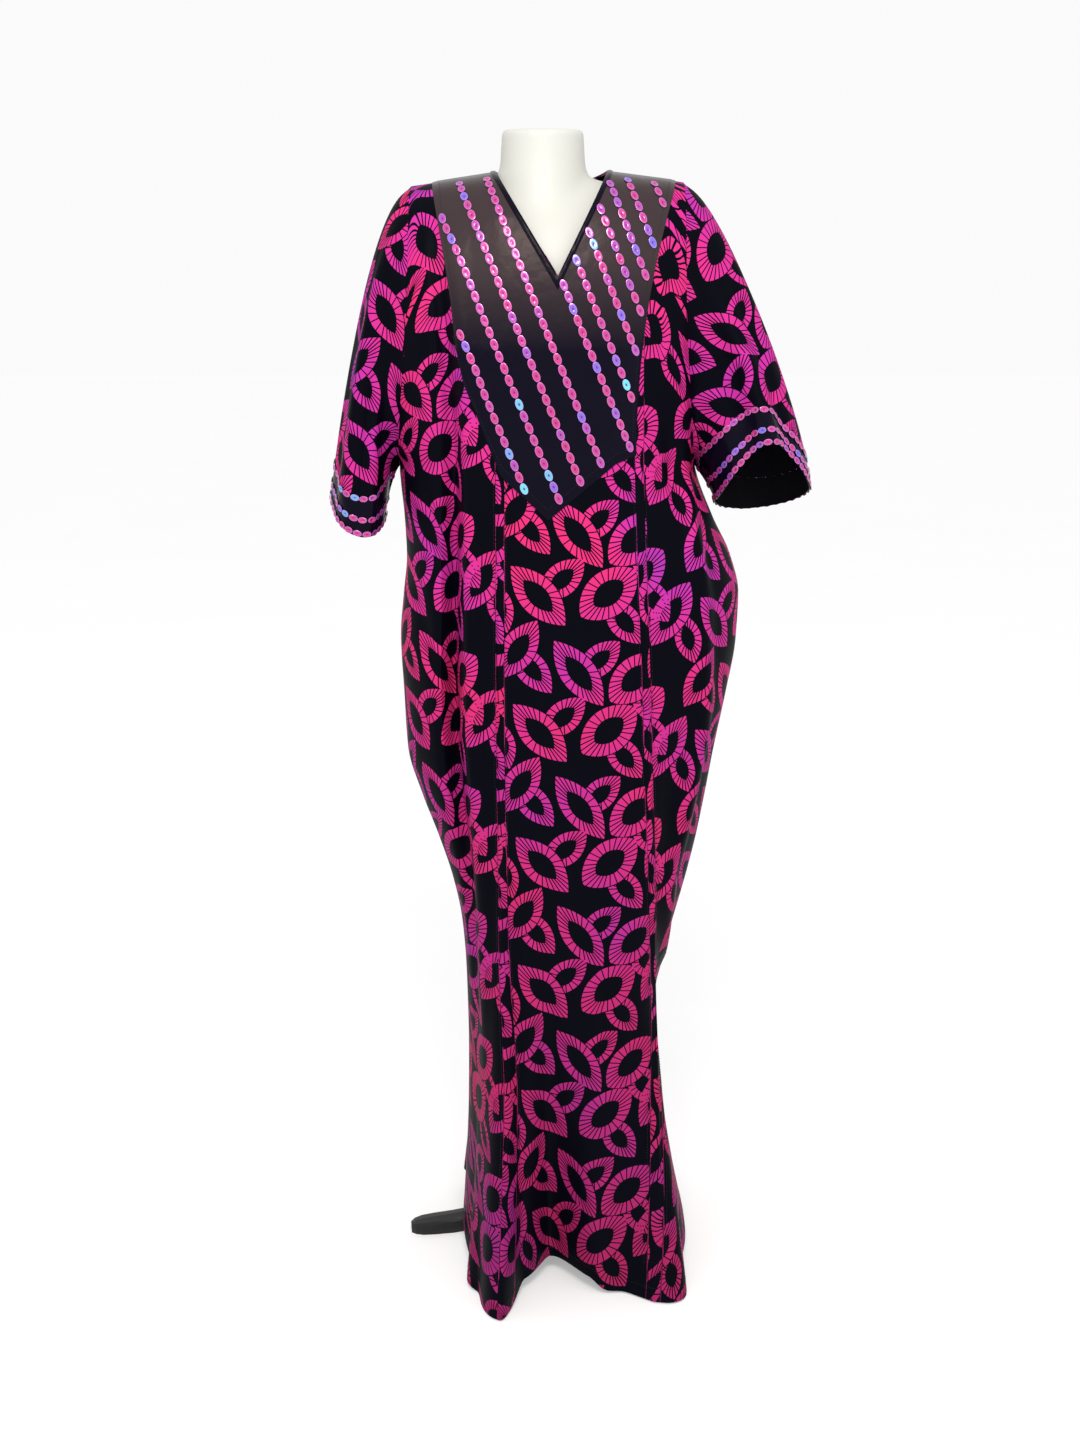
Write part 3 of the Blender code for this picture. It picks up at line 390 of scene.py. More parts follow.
def fold_value(values: Sequence[float], height: Union[float, Array]) -> Array:
    """A fold's value at a height, from its list at FOLD_HEIGHTS."""
    return smooth(FOLD_HEIGHTS[::-1], values[::-1], height)


def unit(vectors: Array) -> Array:
    """The vectors at length one."""
    return vectors / np.maximum(np.linalg.norm(vectors, axis=-1, keepdims=True), TINY)


def refine(rows: Sequence[float], step: float, least: int) -> Array:
    """The rows with more between them.

    Args:
        rows: Rising values that are kept.
        step: The most between two rows.
        least: The fewest parts that a gap is cut into.

    Returns:
        The rows and the new ones between them.
    """
    fine = []
    for low, high in zip(rows, rows[1:]):
        parts = max(least, math.ceil((high - low) / step))
        fine += list(np.linspace(low, high, parts + 1)[:-1])
    return np.array(fine + [rows[-1]])


class Ring:
    """The cloth's surface: the front and back halves of a folded section at each height."""

    SAMPLES = 361
    STEP = 0.0025
    STEEP_ROWS = 221

    def __init__(self) -> None:
        """Works out the sections at close heights."""
        low = np.arange(0.0, STEEP_FROM, self.STEP)
        high = np.linspace(STEEP_FROM, SHOULDER, self.STEEP_ROWS)
        self.heights = np.concatenate((low, high))
        self.halves = {side: self._half(side) for side in Side}

    def _half(self, side: Side) -> tuple:
        """The base place across and the folded x and y of one half.

        Args:
            side: The front or the back.

        Returns:
            Three grids with a row for each height.
        """
        heights = self.heights
        middle, half = reach(heights)
        depth = read(DEPTHS, "front" if side is Side.FRONT else "back", heights)[:, None]
        power = (2 / read(DEPTHS, "squareness", heights))[:, None]
        opening = read(ARMHOLES, "half_opening", heights)[:, None]
        turn = np.radians(read(ARMHOLES, "turn", heights))[:, None]
        angle = np.linspace(-1, 1, self.SAMPLES)[None] * turn
        across = np.sign(angle) * (np.abs(np.sin(angle)) / np.sin(turn)) ** power
        end = np.maximum(np.cos(turn), 0.0) ** power
        bulge = (np.maximum(np.cos(angle), 0.0) ** power - end) / (1 - end)
        x = middle[:, None] + across * half[:, None]
        y = SEAM_Y + side.value * (opening + (depth - opening) * bulge)
        steps = np.hypot(np.diff(x, axis=1), np.diff(y, axis=1))
        length = np.concatenate((np.zeros((len(x), 1)), np.cumsum(steps, axis=1)), axis=1)
        along = unit(np.stack((np.gradient(x, axis=1), np.gradient(y, axis=1)), axis=-1))
        outward = np.stack((along[..., 1], -along[..., 0]), axis=-1) * -side.value
        shift = np.zeros(x.shape + (2,))
        for fold in FRONT_FOLDS if side is Side.FRONT else BACK_FOLDS:
            out = fold_value(fold.out, heights)
            width = fold.width_hem + (fold.width_top - fold.width_hem) * heights / SHOULDER
            if fold.name in TUCKS:
                out = out * (1 - ease(TUCK_TOP - TUCK_FADE, TUCK_TOP, heights))
            places = fold_value(fold.across, heights)
            centre = np.array([np.interp(p, row, far) for p, row, far in zip(places, x, length)])
            away = (length - centre[:, None]) / width[:, None]
            away = np.where(away > 0, away / fold.skew, away)
            lift = out[:, None] * (0.5 + 0.5 * np.cos(math.pi * np.clip(away, -1, 1)))
            shift += lift[..., None] * (outward + fold.lean * along)
        shift *= ease(0.0, CALM_AT_SEAM, np.minimum(length, length[:, -1:] - length))[..., None]
        shift *= (1 - ease(*FOLDS_FADE, heights))[:, None, None]
        return x, x + shift[..., 0], y + shift[..., 1]

    def points(self, side: Side, across: Array, height: Array) -> Array:
        """Points of the surface.

        Args:
            side: The front or the back.
            across: Places across before the folds.
            height: Heights before the shoulder line falls.

        Returns:
            A grid of points, shaped as the places.
        """
        base, folded_x, folded_y = self.halves[side]
        shape = np.shape(across)
        flat_across, flat_height = np.ravel(across), np.clip(np.ravel(height), 0.0, SHOULDER)
        middle, half = reach(flat_height)
        part = np.clip((flat_across - middle) / half, -1.0, 1.0)
        row = np.clip(np.searchsorted(self.heights, flat_height, side="right") - 1, 0,
                      len(self.heights) - 2)
        share = (flat_height - self.heights[row]) / (self.heights[row + 1] - self.heights[row])
        x, y = np.zeros(len(row)), np.zeros(len(row))
        order = np.argsort(row, kind="stable")
        starts = np.flatnonzero(np.diff(row[order], prepend=-1))
        for group in np.split(order, starts[1:]):
            k = row[group[0]]
            t = share[group]
            for beside, weight in ((k, 1 - t), (k + 1, t)):
                ends = base[beside, 0], base[beside, -1]
                at = (ends[0] + ends[1]) / 2 + part[group] * (ends[1] - ends[0]) / 2
                x[group] += weight * np.interp(at, base[beside], folded_x[beside])
                y[group] += weight * np.interp(at, base[beside], folded_y[beside])
        line = broken_line(SHOULDER_LINE, flat_across)
        z = flat_height + HEM_CLEAR + (line - HEM_CLEAR) * ease(SHOULDER_BLEND, SHOULDER, flat_height)
        return np.stack((x, y, z), axis=-1).reshape(shape + (3,))

    def outward(self, side: Side, across: Array, height: Array) -> Array:
        """Outward directions of the surface at places of one half.

        Args:
            side: The front or the back.
            across: Places across before the folds.
            height: Their heights.

        Returns:
            A direction of length one for each place.
        """
        step = 0.002
        wide = self.points(side, across + step, height) - self.points(side, across - step, height)
        tall = self.points(side, across, height + step) - self.points(side, across, height - step)
        return unit(np.cross(wide, tall)) * -side.value

    def creased(self, side: Side, across: Array, height: Array) -> Array:
        """Points of the surface with its small creases pressed in.

        Args:
            side: The front or the back.
            across: Places across before the folds.
            height: Their heights.

        Returns:
            A point for each place.
        """
        grid = self.points(side, across, height)
        press = np.zeros(np.shape(across))
        for crease in CREASES:
            if crease.side is side:
                start, end = np.array(crease.start), np.array(crease.end)
                run = end - start
                place = np.stack((across, height), axis=-1) - start
                t = (place @ run) / (run @ run)
                off = np.abs(place[..., 0] * run[1] - place[..., 1] * run[0]) / np.linalg.norm(run)
                taper = np.where((t > 0) & (t < 1), np.sin(math.pi * np.clip(t, 0, 1)) ** 1.2, 0.0)
                soft = 0.5 + 0.5 * np.cos(math.pi * np.clip(off / crease.width, 0, 1))
                press += crease.depth * taper * soft
        return grid + self.outward(side, across, height) * press[..., None]


class Columns:
    """Places across of the panels' columns at any height."""

    STEP = 0.010
    STEEP_ROWS = 12

    def __init__(self) -> None:
        """Works the columns out at close heights."""
        low = np.arange(0.0, STEEP_FROM, self.STEP)
        self.heights = np.concatenate((low, np.linspace(STEEP_FROM, SHOULDER, self.STEEP_ROWS)))
        front = np.array([self._front(height) for height in self.heights])
        self.tables = {Side.FRONT: front}
        self.tables[Side.BACK] = np.array([self._back(height) for height in self.heights])

    def spread(self, first: float, last: float, cells: int, height: float) -> list:
        """Places between two lines, evenly round the section and without the last.

        Args:
            first: The first line.
            last: The line after them.
            cells: How many places there are.
            height: The height of the section.

        Returns:
            The places.
        """
        middle, half = (float(value) for value in reach(height))
        power = float(read(DEPTHS, "squareness", height)) / 2
        top = math.sin(math.radians(float(read(ARMHOLES, "turn", height))))
        ends = []
        for place in (first, last):
            share = min(max((place - middle) / half, -1.0), 1.0)
            ends.append(math.copysign(math.asin(min(abs(share) ** power * top, 1.0)), share))
        steps = np.linspace(ends[0], ends[1], cells + 1)[:-1]
        return list(middle + half * np.sign(steps) * (np.abs(np.sin(steps)) / top) ** (1 / power))

    def _front(self, height: float) -> list:
        """Places of the front's columns at a height.

        Args:
            height: The height.

        Returns:
            The places, from left to right.
        """
        left, right = float(read(OUTLINES, "left", height)), float(read(OUTLINES, "right", height))
        places = {"left": left, "right": right}
        for name, values in GUIDES.items():
            places[name] = float(fold_value(values, height))
        for fold in FRONT_FOLDS:
            places.setdefault(fold.name, float(fold_value(fold.across, height)))
        columns = []
        for line, after in zip(FRONT_LINES, FRONT_LINES[1:]):
            first = max(places[line.guide] + line.offset, left)
            last = max(places[after.guide] + after.offset, left + SIDE_MARGIN)
            columns += self.spread(first, last, line.cells, height)
        return columns + [right]

    def _back(self, height: float) -> list:
        """Places of the back's columns, which meet the front's along the shoulders.

        Args:
            height: The height.

        Returns:
            The places, from left to right.
        """
        top = self.tables[Side.FRONT][-1]
        turn = np.linspace(0, math.pi, BACK_NECK_CELLS + 1)[1:-1]
        neck = (NECK_LEFT + NECK_RIGHT) / 2 - (NECK_RIGHT - NECK_LEFT) / 2 * np.cos(turn)
        high = np.concatenate((top[top <= NECK_LEFT + NEAR], neck, top[top >= NECK_RIGHT - NEAR]))
        left, right = float(read(OUTLINES, "left", height)), float(read(OUTLINES, "right", height))
        low = np.array(self.spread(left, right, len(high) - 1, height) + [right])
        return list(low + (high - low) * float(ease(*BACK_SPREAD, height)))

    def top(self, side: Side) -> Array:
        """The columns along the shoulder line."""
        return self.tables[side][-1]

    def at(self, side: Side, heights: Array) -> Array:
        """The columns' places where each point has its own height.

        Args:
            side: The front or the back.
            heights: A height for each point of a grid.

        Returns:
            The grid of places across.
        """
        middle, half = reach(self.heights)
        shares = (self.tables[side] - middle[:, None]) / half[:, None]
        share = np.stack([np.interp(heights[:, j], self.heights, shares[:, j])
                          for j in range(shares.shape[1])], axis=1)
        middle, half = reach(heights)
        return middle + share * half


def neck_height(side: Side, across: float) -> float:
    """How far up a panel reaches at a place across.

    Args:
        side: The front or the back.
        across: The place.

    Returns:
        The height.
    """
    if not NECK_LEFT < across < NECK_RIGHT:
        return SHOULDER
    if side is Side.FRONT:
        middle, low = NECK_POINT
        end = NECK_LEFT if across < middle else NECK_RIGHT
        return low + (SHOULDER - low) * (across - middle) / (end - middle)
    share = (across - NECK_LEFT) / (NECK_RIGHT - NECK_LEFT)
    return SHOULDER - BACK_NECK_DROP * math.sin(math.pi * share) ** 0.8


def row_height(row: Array, highest: float) -> Array:
    """The heights of rows in a column that reaches only so high."""
    above = UNDERARM + (row - UNDERARM) * (highest - UNDERARM) / (SHOULDER - UNDERARM)
    return np.where(row <= UNDERARM, row, above)


class Number:
    """A number in a material, which adds a Math node for each operation on it."""

    def __init__(self, nodes: "Nodes", socket: bpy.types.NodeSocket) -> None:
        """Keeps the socket that carries the number."""
        self.nodes = nodes
        self.socket = socket

    def _do(self, operation: str, *values: Union["Number", float], clamp: bool = False) -> "Number":
        """A new number from a Math node.

        Args:
            operation: The Math node's operation.
            values: What it works on.
            clamp: Whether the result is kept between 0 and 1.

        Returns:
            The result.
        """
        made = self.nodes.add("ShaderNodeMath", {"operation": operation, "use_clamp": clamp},
                              dict(enumerate(values)))
        return Number(self.nodes, made.outputs[0])

    def __add__(self, other: Union["Number", float]) -> "Number":
        """Sum."""
        return self._do("ADD", self, other)

    __radd__ = __add__

    def __sub__(self, other: Union["Number", float]) -> "Number":
        """Difference."""
        return self._do("SUBTRACT", self, other)

    def __rsub__(self, other: float) -> "Number":
        """Difference from a plain number."""
        return self._do("SUBTRACT", other, self)

    def __mul__(self, other: Union["Number", float]) -> "Number":
        """Product."""
        return self._do("MULTIPLY", self, other)

    __rmul__ = __mul__

    def size(self) -> "Number":
        """Without its sign."""
        return self._do("ABSOLUTE", self)

    def sine(self) -> "Number":
        """Sine, in radians."""
        return self._do("SINE", self)

    def root(self) -> "Number":
        """Square root."""
        return self._do("SQRT", self)

    def raised(self, power: float) -> "Number":
        """To a power."""
        return self._do("POWER", self, power)

    def turn_of(self, other: "Number") -> "Number":
        """Angle of the point (other, self)."""
        return self._do("ARCTAN2", self, other)

    def fold(self, length: float) -> "Number":
        """Runs up and down between 0 and a length."""
        return self._do("PINGPONG", self, length)

    def wrap(self, half: float) -> "Number":
        """Repeats between minus and plus half."""
        return self._do("WRAP", self, half, -half)

    def over(self, other: Union["Number", float]) -> "Number":
        """1 where it is greater, else 0."""
        return self._do("GREATER_THAN", self, other)

    def under(self, other: Union["Number", float]) -> "Number":
        """1 where it is less, else 0."""
        return self._do("LESS_THAN", self, other)

    def largest(self, other: "Number") -> "Number":
        """The larger of two numbers."""
        return self._do("MAXIMUM", self, other)

    def kept(self) -> "Number":
        """Held between 0 and 1."""
        return self._do("ADD", self, 0.0, clamp=True)


class Nodes:
    """The node tree of a new material."""

    def __init__(self, name: str) -> None:
        """Starts a material with one Principled shader.

        Args:
            name: The material's name.
        """
        self.material = bpy.data.materials.new(name)
        self.material.use_nodes = True
        self.tree = self.material.node_tree
        self.shader = self.tree.nodes["Principled BSDF"]

    def add(self, kind: str, settings: dict, inputs: dict) -> bpy.types.Node:
        """Adds a node.

        Args:
            kind: The node's type.
            settings: Its properties, set first; stops holds a ramp's places and colours.
            inputs: Values or links by socket name or number.

        Returns:
            The node.
        """
        node = self.tree.nodes.new(kind)
        for name, value in settings.items():
            if name == "stops":
                ramp = node.color_ramp
                while len(ramp.elements) < len(value):
                    ramp.elements.new(0.5)
                for element, (place, colour) in zip(ramp.elements, value):
                    element.position = place
                    element.color = (*colour, 1.0)
            else:
                setattr(node, name, value)
        for name, value in inputs.items():
            self.put(node.inputs[name], value)
        return node

    def put(self, socket: bpy.types.NodeSocket, value: object) -> None:
        """Links or sets a socket.

        Args:
            socket: The socket.
            value: A number or a socket to link, or a plain value to set.
        """
        if isinstance(value, Number):
            self.tree.links.new(value.socket, socket)
        elif isinstance(value, bpy.types.NodeSocket):
            self.tree.links.new(value, socket)
        elif isinstance(value, tuple) and len(value) == 3 and socket.type == "RGBA":
            socket.default_value = (*value, 1.0)
        else:
            socket.default_value = value

    def finish(self, **inputs: object) -> bpy.types.Material:
        """Sets the shader's sockets, named with underscores, and returns the material."""
        for name, value in inputs.items():
            self.put(self.shader.inputs[name.replace("_", " ")], value)
        return self.material

    def noise(self, vector: bpy.types.NodeSocket, scale: float, detail: float = 2.0) -> Number:
        """A noise's value."""
        made = self.add("ShaderNodeTexNoise", {}, {"Vector": vector, "Scale": scale, "Detail": detail})
        return Number(self, made.outputs["Fac"])

    def place(self) -> bpy.types.NodeSocket:
        """Object coordinates, in metres."""
        return self.add("ShaderNodeTexCoord", {}, {}).outputs["Object"]

    def cloth_place(self) -> tuple:
        """The cloth's own coordinates, in metres, as a vector and its two numbers."""
        vector = self.add("ShaderNodeUVMap", {"uv_map": "cloth"}, {}).outputs["UV"]
        parts = self.add("ShaderNodeSeparateXYZ", {}, {"Vector": vector})
        return vector, Number(self, parts.outputs["X"]), Number(self, parts.outputs["Y"])

    def weave(self, across: Number, up: Number) -> bpy.types.NodeSocket:
        """A normal with the fine threads of a plain weave."""
        turn = 2 * math.pi / WEAVE_PITCH
        return self.bump((across * turn).sine() * (up * turn).sine(), WEAVE_RELIEF, THREAD_STRENGTH)

    def blend(self, share: Number, first: object, second: object) -> bpy.types.NodeSocket:
        """A colour between two others.

        Args:
            share: The second colour's share.
            first: A colour or its socket.
            second: A colour or its socket.

        Returns:
            The colour's socket.
        """
        made = self.add("ShaderNodeMix", {"data_type": "RGBA"}, {})
        self.put(made.inputs["Factor"], share)
        self.put(made.inputs[6], first)
        self.put(made.inputs[7], second)
        return made.outputs[2]

    def bump(self, height: Number, distance: float, strength: float = 1.0,
             over: object = None) -> bpy.types.NodeSocket:
        """A bumped normal.

        Args:
            height: The relief.
            distance: Its full height in metres.
            strength: Its share of the normal.
            over: A normal that it lies on.

        Returns:
            The normal's socket.
        """
        made = self.add("ShaderNodeBump", {}, {"Height": height, "Distance": distance,
                                               "Strength": strength})
        if over is not None:
            self.put(made.inputs["Normal"], over)
        return made.outputs["Normal"]


@dataclass(frozen=True)
class Leaf:
    """A leaf-shaped ring of the print, in metres and degrees."""

    across: float
    up: float
    angle: float
    length: float
    width: float
    fullness: float
    eye: float
    rays: int


@dataclass(frozen=True)
class LeafPrint:
    """Printed satin cotton: pairs of rayed leaf rings on black, with painted shade that darkens the pink
    towards the hem.
    """

    tile: tuple = (0.236, 0.177)
    start: tuple = (-0.032, 0.953)
    ground: tuple = (0.0014, 0.0014, 0.0042)
    ray: float = 0.00075
    eye_blunt: float = 0.1
    rim: float = 1.07
    # Painted shade: the colour that the pink print darkens to towards the hem, for the light falling off
    # lower down.
    painted_hem_shade: tuple = (0.150, 0.010, 0.040)
    pairs: tuple = (
        (Leaf(0.000, 0.000, -48, 0.0500, 0.0238, 1.05, 0.53, 13),
         Leaf(0.030, 0.021, 42, 0.0370, 0.0200, 1.15, 0.51, 12)),
        (Leaf(0.088, 0.003, 40, 0.0450, 0.0285, 1.35, 0.52, 13),
         Leaf(0.108, -0.033, -52, 0.0370, 0.0195, 1.10, 0.51, 12)),
        (Leaf(0.163, 0.018, 57, 0.0470, 0.0236, 1.05, 0.53, 13),
         Leaf(0.187, -0.015, -74, 0.0340, 0.0170, 1.10, 0.51, 11)),
        (Leaf(0.050, -0.099, -54, 0.0520, 0.0222, 1.05, 0.53, 13),
         Leaf(0.076, -0.082, 42, 0.0350, 0.0190, 1.15, 0.51, 12)),
        (Leaf(0.122, -0.107, 42, 0.0430, 0.0272, 1.35, 0.52, 13),
         Leaf(0.140, -0.140, -55, 0.0350, 0.0190, 1.10, 0.51, 12)),
        (Leaf(0.210, -0.069, 57, 0.0450, 0.0215, 1.05, 0.53, 13),
         Leaf(0.226, -0.093, -51, 0.0400, 0.0195, 1.10, 0.51, 12)),
    )

    def leaf(self, across: Number, up: Number, leaf: Leaf) -> tuple:
        """One leaf ring, repeated over the cloth.

        Args:
            across: Place across the cloth.
            up: Place up the cloth.
            leaf: The leaf's sizes.

        Returns:
            Where its ring is coloured, and where the whole leaf and a thin rim of it lie.
        """
        dx = (across - (leaf.across + self.start[0])).wrap(self.tile[0] / 2)
        dy = (up - (leaf.up + self.start[1])).wrap(self.tile[1] / 2)
        turn = math.radians(leaf.angle)
        a = dx * math.cos(turn) + dy * math.sin(turn)
        b = dy * math.cos(turn) - dx * math.sin(turn)
        flat_a = a * (1 / leaf.length)
        flat_b = b * (1 / leaf.width)
        square_a, square_b = flat_a * flat_a, flat_b * flat_b
        outer = square_a + flat_b.size().raised(leaf.fullness)
        eye_b = (flat_b.size() * (1 / leaf.eye)).raised(leaf.fullness + self.eye_blunt)
        inner = square_a * (1 / leaf.eye ** 2) + eye_b
        gap = math.pi / leaf.rays
        off = (flat_b.turn_of(flat_a) + gap / 2).fold(gap / 2)
        spread = (square_b * (1 / leaf.length ** 2) + square_a * (1 / leaf.width ** 2)).root()
        ray = (off * (square_a + square_b)).over(spread * self.ray)
        inside = outer.under(1.0)
        return inside * inner.over(1.0) * ray, outer.under(self.rim)

    def make(self) -> bpy.types.Material:
        """The printed cloth's material."""
        nodes = Nodes("printed_cloth")
        vector, across, up = nodes.cloth_place()
        ink = None
        for front, behind in self.pairs:
            mark, cover = self.leaf(across, up, front)
            partner, _ = self.leaf(across, up, behind)
            pair = mark.largest(partner * (1 - cover))
            ink = pair if ink is None else ink.largest(pair)
        hue = (nodes.noise(vector, 5.5, 1.0) - 0.5) * 2.2 + 0.38
        pink = nodes.add("ShaderNodeValToRGB", {"stops": (
            (0.0, (0.62, 0.026, 0.150)), (0.35, (0.56, 0.026, 0.215)), (0.70, (0.44, 0.026, 0.300)),
            (1.0, (0.26, 0.030, 0.330)))}, {"Fac": hue.kept()})
        # Painted shade: the pink is darkened towards the hem, by the height up the cloth, for the light
        # falling off lower down.
        painted_hem_shade = ((1.00 - up) * 0.90).kept() * 0.74
        print_and_painted_shade = nodes.blend(painted_hem_shade, pink.outputs["Color"], self.painted_hem_shade)
        colour = nodes.blend(ink, self.ground, print_and_painted_shade)
        ripple = nodes.bump(nodes.noise(vector, 26.0, 3.0), 0.0011, 0.55, nodes.weave(across, up))
        rough = 0.46 + nodes.noise(vector, 60.0) * 0.10 + ink * 0.06
        return nodes.finish(Base_Color=colour, Roughness=rough, Normal=ripple,
                            Specular_IOR_Level=0.03)


@dataclass(frozen=True)
class ClothReverse:
    """The dull black reverse of the printed cloth and the satin."""

    colour: tuple = (0.0022, 0.0021, 0.0036)
    dusty: tuple = (0.0052, 0.0048, 0.0070)

    def make(self) -> bpy.types.Material:
        """The reverse's material."""
        nodes = Nodes("cloth_reverse")
        vector, across, up = nodes.cloth_place()
        lint = nodes.noise(vector, 120.0, 3.0)
        return nodes.finish(Base_Color=nodes.blend(lint, self.colour, self.dusty),
                            Roughness=0.72 + lint * 0.15, Normal=nodes.weave(across, up),
                            Specular_IOR_Level=0.04)


@dataclass(frozen=True)
class BlackSatin:
    """Plain black satin with a warm sheen, and a painted sheen: a warm lighter colour over the chest."""

    colour: tuple = (0.0018, 0.0018, 0.0085)
    worn: tuple = (0.0036, 0.0030, 0.0090)
    # Painted sheen: a warm lighter colour over the upper chest, from the height below up, for light
    # reflected from above.
    painted_sheen: tuple = (0.0380, 0.0270, 0.0300)
    painted_sheen_from: float = 1.25

    def make(self) -> bpy.types.Material:
        """The satin's material."""
        nodes = Nodes("satin")
        vector, across, up = nodes.cloth_place()
        cloud = nodes.noise(vector, 14.0, 3.0)
        # Painted sheen: the colour turns warm and lighter from the chest up, for the top lamp's
        # reflection on the slanted satin.
        painted_sheen_share = ((up - self.painted_sheen_from) * 9.0).kept()
        colour = nodes.blend(painted_sheen_share, nodes.blend(cloud, self.colour, self.worn), self.painted_sheen)
        twill = ((across + up) * (2 * math.pi / TWILL_PITCH)).sine()
        threads = nodes.bump(twill, TWILL_RELIEF, THREAD_STRENGTH)
        pucker = nodes.bump(nodes.noise(vector, 62.0, 2.0), 0.0012, 0.45, threads)
        ripple = nodes.bump(nodes.noise(vector, 17.0, 3.0), 0.0034, 0.8, pucker)
        rough = 0.21 + nodes.noise(vector, 90.0) * 0.08
        return nodes.finish(Base_Color=colour, Roughness=rough, Normal=ripple,
                            Specular_IOR_Level=0.07, Specular_Tint=(1.0, 0.84, 0.76))


@dataclass(frozen=True)
class Sequin:
    """Iridescent pink sequins, each with its own hue, and a stitch at the middle."""

    edge: tuple = (0.56, 0.24, 0.58)
    stitch: tuple = (0.20, 0.02, 0.09)

    def make(self) -> bpy.types.Material:
        """The sequins' material."""
        nodes = Nodes("sequin")
        _, hue, rim = nodes.cloth_place()
        body = nodes.add("ShaderNodeValToRGB", {"stops": (
            (0.0, (0.55, 0.030, 0.24)), (0.50, (0.50, 0.040, 0.31)), (0.80, (0.36, 0.060, 0.46)),
            (0.94, (0.14, 0.14, 0.75)), (1.0, (0.10, 0.70, 0.80)))}, {"Fac": hue})
        stitch = (0.26 - rim).over(0.0)
        edged = nodes.blend(((rim - 0.66) * 2.6).kept() * 0.60, body.outputs["Color"], self.edge)
        colour = nodes.blend(stitch, edged, self.stitch)
        grain = nodes.bump(nodes.noise(nodes.place(), 900.0, 1.0), 0.0002, 0.25)
        return nodes.finish(Base_Color=colour, Roughness=0.20 + rim * 0.06, Metallic=0.35,
                            Normal=grain, Coat_Weight=0.45, Coat_Roughness=0.10,
                            Thin_Film_Thickness=430.0, Thin_Film_IOR=1.36)


@dataclass(frozen=True)
class Thread:
    """Dark sewing thread."""

    colour: tuple = (0.006, 0.005, 0.009)
    worn: tuple = (0.018, 0.013, 0.019)

    def make(self) -> bpy.types.Material:
        """The thread's material."""
        nodes = Nodes("thread")
        twist = nodes.noise(nodes.place(), 1800.0, 1.0)
        return nodes.finish(Base_Color=nodes.blend(twist, self.colour, self.worn),
                            Roughness=0.5 + twist * 0.2, Normal=nodes.bump(twist, 0.0002, 0.4))


@dataclass(frozen=True)
class IvoryForm:
    """Smooth ivory finish of the dress form."""

    colour: tuple = (0.545, 0.555, 0.515)
    aged: tuple = (0.515, 0.515, 0.470)

    def make(self) -> bpy.types.Material:
        """The form's material."""
        nodes = Nodes("ivory_form")
        place = nodes.place()
        cloud = nodes.noise(place, 9.0, 4.0)
        skin = nodes.noise(place, 420.0, 2.0)
        return nodes.finish(Base_Color=nodes.blend(cloud, self.colour, self.aged),
                            Roughness=0.42 + skin * 0.12, Normal=nodes.bump(skin, 0.0004, 0.12),
                            Specular_IOR_Level=0.45)


@dataclass(frozen=True)
class BlackStand:
    """Black enamel on cast iron and tube."""

    colour: tuple = (0.004, 0.004, 0.0045)
    worn: tuple = (0.009, 0.009, 0.010)

    def make(self) -> bpy.types.Material:
        """The stand's material."""
        nodes = Nodes("black_stand")
        place = nodes.place()
        peel = nodes.noise(place, 320.0, 2.0)
        wear = nodes.noise(place, 30.0, 4.0)
        return nodes.finish(Base_Color=nodes.blend(wear, self.colour, self.worn),
                            Roughness=0.34 + wear * 0.18, Normal=nodes.bump(peel, 0.0004, 0.25),
                            Coat_Weight=0.06, Coat_Roughness=0.2, Specular_IOR_Level=0.25)


def sheet_mesh(name: str, grid: Array, places: Array, closed: bool = False,
               flipped: bool = False) -> bpy.types.Object:
    """A surface from a grid of points, with its own UV map in metres.

    Args:
        name: The object's name.
        grid: Rows of points; a closed grid's last column is joined to its first.
        places: The cloth's coordinates; a closed grid has one more column of them.
        closed: Whether the rows are loops.
        flipped: Whether the outside is on the other side.

    Returns:
        The object.
    """
    rows, columns = grid.shape[:2]
    index = np.arange(rows * columns).reshape(rows, columns)
    if closed:
        index = np.concatenate((index, index[:, :1]), axis=1)
    wide = index.shape[1]
    corner = np.arange(rows * wide).reshape(rows, wide)
    turn = (slice(None), slice(None, None, -1)) if flipped else (slice(None), slice(None))

    def quads(numbers: Array) -> Array:
        """Four corners of each cell."""
        cells = np.stack((numbers[:-1, :-1], numbers[:-1, 1:], numbers[1:, 1:], numbers[1:, :-1]),
                         axis=-1).reshape(-1, 4)
        return cells[turn]

    mesh = bpy.data.meshes.new(name)
    mesh.from_pydata(grid.reshape(-1, 3).tolist(), [], quads(index).tolist())
    layer = mesh.uv_layers.new(name="cloth")
    flat = np.asarray(places, dtype=float).reshape(-1, 2)[quads(corner).reshape(-1)]
    layer.data.foreach_set("uv", flat.astype(np.float32).reshape(-1))
    made = bpy.data.objects.new(name, mesh)
    bpy.context.scene.collection.objects.link(made)
    return made


def select_only(thing: bpy.types.Object) -> None:
    """Selects one object and makes it the active one."""
    bpy.ops.object.select_all(action="DESELECT")
    thing.select_set(True)
    bpy.context.view_layer.objects.active = thing


def shell(thing: bpy.types.Object, thickness: float, finish: bpy.types.Material,
          reverse: bpy.types.Material) -> None:
    """Gives a surface its thickness inwards, the materials of its two faces and smooth shading.

    Args:
        thing: The surface.
        thickness: The wall that it gets.
        finish: The outer material.
        reverse: The inner material.
    """
    thing.data.materials.append(finish)
    thing.data.materials.append(reverse)
    select_only(thing)
    wall = thing.modifiers.new("thickness", "SOLIDIFY")
    wall.thickness = thickness
    wall.offset = -1.0
    wall.use_quality_normals = True
    wall.material_offset = 1
    bpy.ops.object.modifier_apply(modifier=wall.name)
    bpy.ops.object.shade_smooth_by_angle(angle=SHARP_EDGE)


